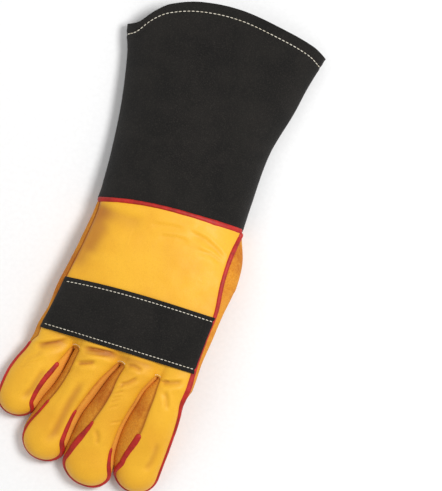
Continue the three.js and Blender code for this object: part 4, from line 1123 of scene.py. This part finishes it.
def snap_to_hole(bm):
    """Cuts the hole out of a grid and lays the new edge on the hole's line"""
    doomed = [f for f in bm.faces if in_hole(f.calc_center_median())]
    kept_rim = {v for e in bm.edges if e.is_boundary for v in e.verts}
    bmesh.ops.delete(bm, geom=doomed, context="FACES")
    for vert in bm.verts:
        if not vert.is_boundary or vert in kept_rim:
            continue
        place = flat(vert.co)
        spots = []
        for a, b in zip(HOLE_LINE, HOLE_LINE[1:]):
            ab = b - a
            spots.append(a + ab * clamp((place - a).dot(ab) / ab.dot(ab), 0, 1))
        best = min(spots, key=lambda spot: (spot - place).length)
        if (best - place).length < SNAP:
            vert.co.x = best.x
            vert.co.y = best.y


def palm():
    bm = bmesh.new()
    columns = hand_columns(PALM_ORDER, FRONT_CELLS, "palm")
    add_hand_grid(bm, columns, HAND_CELLS, PALM_WELT_AT, 1)
    last = len(columns) - 1
    first = {"index": 0, "little": last - FRONT_CELLS["little"]}
    strips = {"index": FRONT_CELLS["index"], "little": last - FRONT_CELLS["little"] - STRIP_STEPS}
    for name, start in first.items():
        for low, cells in ((start, FRONT_CELLS[name]), (strips[name], STRIP_STEPS)):
            group = columns[low:low + cells + 1]
            add_hand_grid(bm, group, WELT_SIDE_CELLS, 0, PALM_WELT_AT)
        add_finger_grid(bm, name, "palm", FRONT_CELLS[name])
    bmesh.ops.remove_doubles(bm, verts=bm.verts, dist=WELD)
    snap_to_hole(bm)
    piece = leather("hand_palm", bm, SUEDE_ORANGE, SUEDE, swell=0.3,
                    puff=0.2, painted_shade_left_faces=0.25, painted_light_right_faces=0.3)
    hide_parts("palm")


def middle_fronts():
    bm = bmesh.new()
    add_hand_grid(bm, MIDDLE_COLUMNS, WELT_SIDE_CELLS, 0, PALM_WELT_AT)
    for name in PALM_ORDER[1:3]:
        add_finger_grid(bm, name, "front", FRONT_CELLS[name])
    piece = leather("middle_fingers_front", bm, SUEDE_ORANGE, SUEDE,
                    swell=0.3)
    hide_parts("middle_front")


FOURCHETTE_CELLS = 12
FOURCHETTE_POINT = 0.84  # share of the way to the tip where a finger's seams meet


def fourchette(left, right):
    """The strip up one finger, round the crotch and down the next"""
    cells = 2 * FINGER_LENGTH_CELLS["ring"] + STRIP_CELLS
    crotch_from = FINGER_LENGTH_CELLS["ring"] / cells
    crotch_to = 1 - crotch_from

    def side(name, edge, way, share):
        form = finger_row(name, way * FOURCHETTE_POINT)
        return finger_point(form, mix(form[f"{edge}Top"], form[f"{edge}Low"], share))

    def place(number, way):
        share = number / FOURCHETTE_CELLS
        if way <= crotch_from:
            return side(left, "right", 1 - way / crotch_from, share)
        if way >= crotch_to:
            return side(right, "left", (way - crotch_to) / (1 - crotch_to), share)
        t = (way - crotch_from) / (crotch_to - crotch_from)
        point = side(left, "right", 0, share).lerp(side(right, "left", 0, share), t)
        point.y += crotch_setback(t, 0)
        return point

    bm = bmesh.new()
    grid(bm, FOURCHETTE_CELLS, cells, place)
    piece = leather(f"gusset_{left}_{right}", bm, SUEDE_ORANGE, SUEDE,
                    folds=(), swell=0.12, puff=0.55, painted_shade_left_faces=0.2,
                    painted_light_right_faces=0.7)
    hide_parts(f"fourchette_{left}_{right}")


def thumb_front():
    bm = bmesh.new()

    def heel(number, way):
        return thumb_root_point(mix(1, WEB, way), number / THUMB_CELLS)

    def free(number, way):
        return thumb_point(thumb_row(way), math.pi * (1 - number / THUMB_CELLS), False)

    grid(bm, THUMB_CELLS, THUMB_LENGTH_CELLS, heel)
    grid(bm, THUMB_CELLS, THUMB_LENGTH_CELLS, free)
    piece = leather("thumb_palm_side", bm, SUEDE_ORANGE, SUEDE, puff=0.3)
    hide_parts("thumb_front")


def thumb_back():
    bm = bmesh.new()

    def root(number, way):
        row = mix(WEB, ROOT_END, way)
        angle = math.pi * (1 - number / THUMB_CELLS)
        left = thumb_root_point(row, 0)
        right = thumb_root_point(row, 1)
        point = right.lerp(left, (1 - math.cos(angle)) / 2)
        point.z = mix(point.z, THUMB_HEIGHT, abs(math.sin(angle)) ** THUMB_ROUND)
        return point

    def free(number, way):
        return thumb_point(thumb_row(1 - way), math.pi * (1 - number / THUMB_CELLS), True)

    grid(bm, THUMB_CELLS, THUMB_ROOT_CELLS, root)
    grid(bm, THUMB_CELLS, THUMB_LENGTH_CELLS, free)
    bmesh.ops.remove_doubles(bm, verts=bm.verts, dist=WELD)
    snap_to_hole(bm)
    piece = leather("thumb_inner_side", bm, SUEDE_ORANGE, SUEDE, folds=(),
                    puff=0.0)
    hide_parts("thumb_back")


STRAP_STITCH_INSETS = (2.6, 5.4)
STRAP_END = wrist_at(0.5) - 0.8  # where the strap's end runs into the wrist seam
STRAP_HIGHEST = THUMB_ROOM + 4  # above this height the palm turns up its side
STRAP_SINK = 0.05
BELOW = -5  # heights from which the pieces are looked for
ABOVE = 100


def strap_spots(distance):
    """Places along the strap, at a distance beside its middle"""
    return beside(smooth_line(route(STRAP, 60), STRAP_CELLS[0]), distance)


STRAP_STITCHES = [strap_spots(side * (STRAP_WIDTH / 2 - inset))
                  for side in (-1, 1) for inset in STRAP_STITCH_INSETS]


def on_surface(name, point, up):
    """Nearest place straight above or below a point on a piece, and its outward normal"""
    start = Vector((point.x, point.y, BELOW if up else ABOVE))
    spot, normal, _, _ = SURFACES[name].ray_cast(start, Vector((0, 0, 1 if up else -1)))
    return spot, normal


def strap():
    bm = bmesh.new()
    length_cells, across_cells = STRAP_CELLS
    rows = [strap_spots(mix(-STRAP_WIDTH / 2, STRAP_WIDTH / 2, share))
            for share in shares(across_cells)]

    def place(number, way):
        point = rows[round(way * across_cells)][number]
        spot, normal = on_surface("hand_palm", point, True)
        if spot is None or spot.z > STRAP_HIGHEST:
            start = Vector((point.x, point.y, THUMB_ROOM))
            spot, normal, _, _ = SURFACES["hand_palm"].find_nearest(start)
        return spot + normal * (GRAIN - STRAP_SINK)

    grid(bm, length_cells, across_cells, place)
    beyond = [f for f in bm.faces if f.calc_center_median().y > STRAP_END]
    bmesh.ops.delete(bm, geom=beyond, context="FACES")
    piece = leather("thumb_reinforcing_strap", bm, GRAIN_YELLOW, GRAIN,
                    is_open=lambda co: True, folds=(), swell=0.1, puff=0.0,
                    grooves=STRAP_STITCHES)
    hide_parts("thumb_strap")


HEM_DEPTH = 7.2  # the hem's stitches lie this far from the mouth
HEM_COLUMNS = 60
HEM_ENDS = (0.004, 0.996)
MOUTH_REACH = 1  # a point this close to the mouth's line is on its edge
HALVINGS = 18  # they find a place across the mouth to less than 0.001 mm


def arc(share):
    """Share of the width of a round form at a share of the way round it"""
    return (1 - math.cos(share * math.pi)) / 2


def hem_line(is_back):
    places = [mix(*HEM_ENDS, share) for share in shares(HEM_COLUMNS)]
    return [cuff_place(place, cuff_point(place, 1, is_back).y - HEM_DEPTH, is_back)
            for place in places]


def mouth_at(x, is_back):
    """How far along the glove the mouth's edge lies at a place across it"""
    low, high = 0.0, 1.0
    for _ in range(HALVINGS):
        share = (low + high) / 2
        if cuff_point(share, 1, is_back).x < x:
            low = share
        else:
            high = share
    return cuff_point((low + high) / 2, 1, is_back).y


def cuff(is_back):
    bm = bmesh.new()
    columns, rows = CUFF_CELLS

    def place(number, way):
        return cuff_point(arc(number / columns if is_back else 1 - number / columns), way, is_back)

    def at_mouth(co):
        by_mouth = co.y > PALM_LENGTH + CUFF_LENGTH / 2
        return by_mouth and abs(co.y - mouth_at(co.x, is_back)) < MOUTH_REACH

    grid(bm, columns, rows, place)
    side = "back" if is_back else "front"
    piece = leather(f"gauntlet_{side}", bm, SUEDE_BLACK, CUFF_SUEDE,
                    is_open=at_mouth, folds=(), swell=0.5,
                    puff=SEAM_SWELL if is_back else 0.0, grooves=[hem_line(is_back)])
    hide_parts(f"cuff_{side}")


PATCH_STITCH_INSETS = (2.6, 8.4)
PATCH_FROM = 0.2  # the patch starts this far from the wrist seam


def patch_place(share, reach):
    across = mix(PATCH_START, PATCH_STOP, share)
    y = wrist_at(across) + reach
    return cuff_place(across, y, False)


def patch_reach(share):
    return PATCH_DEPTH * mix(PATCH_SIDE, 1, math.sqrt(max(1 - (2 * share - 1) ** 4, 0)))


PATCH_ROW = (0.02, 0.98)  # ends of the rows of stitches, as shares of the patch's width
PATCH_STITCHES = [[patch_place(mix(*PATCH_ROW, share), inset) for share in shares(40)]
                  for inset in PATCH_STITCH_INSETS]


def wrist_patch():
    bm = bmesh.new()
    columns, rows = PATCH_CELLS

    def place(number, way):
        share = 1 - number / columns
        return patch_place(share, mix(PATCH_FROM, patch_reach(share), way))

    grid(bm, columns, rows, place)
    piece = leather("wrist_half_moon", bm, SUEDE_ORANGE, SUEDE,
                    is_open=lambda co: True, swell=0.1, lift=SUEDE + LAID_GAP, puff=0.0,
                    grooves=PATCH_STITCHES)
    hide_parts("wrist_patch")


# Welts. Their thickness and how far they stand out varies along the seam.
WELT_SIDES = 12
WELT_SINK = 0.1
WELT_LOOK = 3.0  # millimetres across, with the leather folded round the cord
WELT_UNEVEN = ((9, 5, 0.10), (3, 9, 0.05))
WELT_END = 1.2  # millimetres over which an end is rounded


def tube(name, line, replaced, widths=((0, 1), (1, 1))):
    """A rounded strip of leather along a seam. widths: how many times the usual width it is
    at shares of its length."""
    widths = table("at factor", widths)
    points = spaced(line, 1.0)
    count = len(points) - 1
    bm = bmesh.new()

    def place(number, way):
        k = round(way * count)
        along = (points[min(k + 1, count)] - points[max(k - 1, 0)]).normalized()
        side = along.cross(Vector((0, 0, 1)))
        if side.length < 0.2:
            side = Vector((1, 0, 0))
        side.normalize()
        up = side.cross(along)
        angle = number / WELT_SIDES * 2 * math.pi
        end = math.sqrt(clamp(min(k, count - k) / WELT_END, 0.25, 1))
        tall = (1 + unevenness(points[k], WELT_UNEVEN)) * end * WELT_LOOK / 2
        wide = tall * read(widths, "at", "factor", way)
        return points[k] + side * math.cos(angle) * wide + up * math.sin(angle) * tall

    grid(bm, WELT_SIDES, count, place)
    bmesh.ops.remove_doubles(bm, verts=bm.verts, dist=WELD)
    ends = [e for e in bm.edges if e.is_boundary]
    bmesh.ops.holes_fill(bm, edges=ends, sides=WELT_SIDES)
    bmesh.ops.recalc_face_normals(bm, faces=bm.faces)
    piece = add_mesh(name, bm, WELT_RED)
    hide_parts(replaced)


def sunk(point):
    return point - Vector((0, 0, WELT_SINK))


def finger_seam(name, edge, start, stop, steps):
    forms = [finger_row(name, mix(start, stop, share)) for share in shares(steps)]
    return [sunk(finger_point(form, form[edge])) for form in forms]


# Where each fingertip's welt starts on its two sides, as a share of the way to the tip
WELTS = {"little": (0.09, 0.20), "ring": (0.44, 0.44), "middle": (0.44, 0.58), "index": (0.45, 0)}
WELT_WIDTHS = {
    "little": ((0, 1.1), (0.2, 1.2), (0.5, 1.1), (0.75, 1.2), (0.9, 1.5), (1, 1.4)),
    "ring": ((0, 0.7), (0.3, 0.8), (0.5, 1.0), (0.65, 1.6), (0.8, 1.5), (1, 0.8)),
    "middle": ((0, 0.7), (0.18, 1.9), (0.35, 1.4), (0.55, 1.1), (0.75, 1.5), (1, 0.8)),
    "index": ((0, 1.7), (0.1, 1.5), (0.2, 1.1), (0.45, 1.2), (0.55, 1.9), (0.6, 1.6),
              (0.65, 1.0), (0.72, 0.9), (0.8, 1.2), (0.9, 1.3), (1, 1.7)),
}


SECOND_START = 0.985  # the second side's seam starts just past the tip
THUMB_WELT_FROM = 0.33  # share of the way to the thumb's tip
WRIST_WELT = (0.055, 0.945)  # ends of the wrist's welt, as shares of the way round
TIP_STEPS = 60  # points along a seam before it is spaced evenly
SIDE_STEPS = 90
WRIST_STEPS = 100
THUMB_STEPS = 50


def tip_welts():
    for name, (left, right) in WELTS.items():
        line = finger_seam(name, "leftTop", left, 1, TIP_STEPS)
        if name == "index":
            line += finger_seam(name, "rightTop", SECOND_START, 0, SIDE_STEPS)
            column = hand_column("index", ROOTS["index"]["rightTop"], "back")
            line += [sunk(hand_point(column, row)) for row in shares(SIDE_STEPS)[1:]]
        else:
            line += finger_seam(name, "rightTop", SECOND_START, right, TIP_STEPS)
        tube(f"welt_{name}", line, f"{name}_welt", WELT_WIDTHS[name])


def wrist_welt():
    line = [sunk(cuff_point(arc(mix(*WRIST_WELT, share)), 0, True))
            for share in shares(WRIST_STEPS)]
    tube("welt_wrist", line, "cuff_welt",
         ((0, 1.3), (0.3, 1.05), (0.6, 1.15), (0.85, 1.75), (1, 2.0)))


def palm_welts():
    line = [hand_line_point(MIDDLE_COLUMNS, k, PALM_WELT_AT) for k in range(len(MIDDLE_COLUMNS))]
    for point in line:
        point.z += WELT_SINK
    tube("welt_palm", line, "palm_welt")
    line = []
    for start, stop, angle in ((THUMB_WELT_FROM, 1, math.pi), (SECOND_START, THUMB_WELT_FROM, 0)):
        line += [thumb_point(thumb_row(mix(start, stop, share)), angle, True)
                 for share in shares(THUMB_STEPS)]
    tube("welt_thumb", line, "thumb_welt", ((0, 0.8), (0.2, 1.4), (0.6, 1.3), (1, 0.8)))


# Stitches: each one is a short length of thread that dips into the leather at both ends
STITCH_PITCH = 2.8
STITCH_LENGTH = 2.2
STITCH_THICK = 0.6
STITCH_HEIGHT = 0.42  # share of its thickness that it is high on each side
STITCH_LIFT = 0.12  # share of its thickness that its middle stands out
HEM_PITCH = 3.1
HEM_LENGTH = 2.4
CROTCH_STITCH = {"pitch": 1.4, "length": 0.95, "thick": 0.42}
CROTCH_INSET = 1.3
CROTCH_ROW = (0.04, 0.96)
PATCH_PAST = 0.985
CUFF_ENDS = ((0.015, PATCH_START - 0.01), (PATCH_STOP + 0.015, PATCH_PAST))


def stitches(name, lines, surface, up=False, pitch=STITCH_PITCH, length=STITCH_LENGTH,
             thick=STITCH_THICK):
    """Rows of thread on a piece, along lines seen from above, or from below with up"""
    bm = bmesh.new()
    for line in lines:
        points = spaced(line, pitch)
        for a, b in zip(points, points[1:]):
            spot, normal = on_surface(surface, a.lerp(b, 0.5), up)
            if spot is None:
                continue
            along = b - a
            along -= normal * along.dot(normal)
            along.normalize()
            turn = Matrix((along, normal.cross(along), normal)).transposed().to_4x4()
            size = Matrix.Diagonal((length / 2, thick / 2, thick * STITCH_HEIGHT, 1))
            lift = Matrix.Translation(spot + normal * thick * STITCH_LIFT)
            bmesh.ops.create_icosphere(bm, subdivisions=2, radius=1, matrix=lift @ turn @ size)
    for vert in bm.verts:
        vert.co.z = max(vert.co.z, 0)
    add_mesh(name, bm, THREAD)


def crotch_line(left, right):
    """The row of small stitches round the crotch between two fingers"""
    a = hand_column(left, ROOTS[left]["rightTop"], "back")
    b = hand_column(right, ROOTS[right]["leftTop"], "back")
    line = []
    for share in shares(12):
        t = mix(*CROTCH_ROW, share)
        point = hand_point(a, 0).lerp(hand_point(b, 0), t)
        point.y += crotch_setback(t, 0) + CROTCH_INSET
        line.append(point)
    return line


def all_stitches():
    stitches("band_stitches", BAND_STITCHES, "band")
    stitches("hem_stitches_back", [hem_line(True)], "gauntlet_back", False, HEM_PITCH, HEM_LENGTH)
    stitches("hem_stitches_front", [hem_line(False)], "gauntlet_front", True,
             HEM_PITCH, HEM_LENGTH)
    ends = []
    for low, high in CUFF_ENDS:
        places = [mix(low, high, share) for share in shares(8)]
        ends += [[cuff_place(place, wrist_at(place) + inset, False) for place in places]
                 for inset in PATCH_STITCH_INSETS]
    ends.append([patch_place(PATCH_PAST, inset) for inset in PATCH_STITCH_INSETS])
    stitches("cuff_end_stitches", ends, "gauntlet_front", True)
    stitches("patch_stitches", PATCH_STITCHES, "wrist_half_moon", True)
    stitches("strap_stitches", STRAP_STITCHES, "thumb_reinforcing_strap", True)
    names = list(FINGERS)
    crotches = [crotch_line(left, right) for left, right in zip(names, names[1:])]
    stitches("crotch_stitches", crotches, "hand_back", **CROTCH_STITCH)


# Camera, lights and floor. They are made before the pieces.
VIEW_SCALE = 0.714  # millimetres to one pixel of the photograph
PICTURE = (442, 491)  # pixels
ROLL = math.radians(20)
CAMERA_HEIGHT = 2.6  # metres
SENSOR = 24  # millimetres
FARTHEST = 20  # metres
ANCHOR_PIXEL = (150, 260)  # where the point below is seen
ANCHOR = Vector((0, 77.06, 0))  # millimetres from the crotches, on the hand's middle
LIGHTS = {  # place and diameter in metres, and power in watts
    "key": ((0.55, 0.4, 1.25), 0.5, 13.5),
    "fill": ((-0.9, 0.2, 1.2), 1.1, 2.5),
}
SURROUNDING_LIGHT = 0.5
FLOOR_REACH = 3  # metres from the glove to the floor's edges


def camera():
    data = bpy.data.cameras.new("camera")
    data.sensor_fit = "VERTICAL"
    data.sensor_height = SENSOR
    data.lens = SENSOR * CAMERA_HEIGHT / (PICTURE[1] * VIEW_SCALE * MM)
    data.clip_end = FARTHEST
    item = bpy.data.objects.new("camera", data)
    bpy.context.scene.collection.objects.link(item)
    right = Vector((math.cos(ROLL), math.sin(ROLL), 0))
    down = Vector((math.sin(ROLL), -math.cos(ROLL), 0))
    centre = (ANCHOR + TO_FRAME) * MM
    centre += right * (PICTURE[0] / 2 - ANCHOR_PIXEL[0]) * VIEW_SCALE * MM
    centre += down * (PICTURE[1] / 2 - ANCHOR_PIXEL[1]) * VIEW_SCALE * MM
    item.location = (centre.x, centre.y, CAMERA_HEIGHT)
    item.rotation_euler = (0, 0, ROLL)
    bpy.context.scene.camera = item


def studio():
    world = bpy.data.worlds.new("soft_white")
    world.use_nodes = True
    background = world.node_tree.nodes["Background"]
    background.inputs["Color"].default_value = (1, 1, 1, 1)
    background.inputs["Strength"].default_value = SURROUNDING_LIGHT
    bpy.context.scene.world = world
    for name, (place, size, power) in LIGHTS.items():
        data = bpy.data.lights.new(name, "AREA")
        data.shape = "DISK"
        data.size = size
        data.energy = power
        item = bpy.data.objects.new(name, data)
        bpy.context.scene.collection.objects.link(item)
        item.location = place
        item.rotation_euler = (-Vector(place)).to_track_quat("-Z", "Y").to_euler()
    bm = bmesh.new()
    bmesh.ops.create_grid(bm, x_segments=2, y_segments=2, size=FLOOR_REACH)
    mesh = bpy.data.meshes.new("floor")
    bm.to_mesh(mesh)
    bm.free()
    mesh.materials.append(seamless_paper())
    item = bpy.data.objects.new("floor", mesh)
    bpy.context.scene.collection.objects.link(item)
    bpy.context.scene.view_settings.view_transform = "Standard"


camera()
studio()
back()
knuckle_band()
palm()
middle_fronts()
for pair in (("little", "ring"), ("ring", "middle"), ("middle", "index")):
    fourchette(*pair)
thumb_front()
thumb_back()
strap()
cuff(True)
cuff(False)
wrist_patch()
tip_welts()
wrist_welt()
palm_welts()
all_stitches()
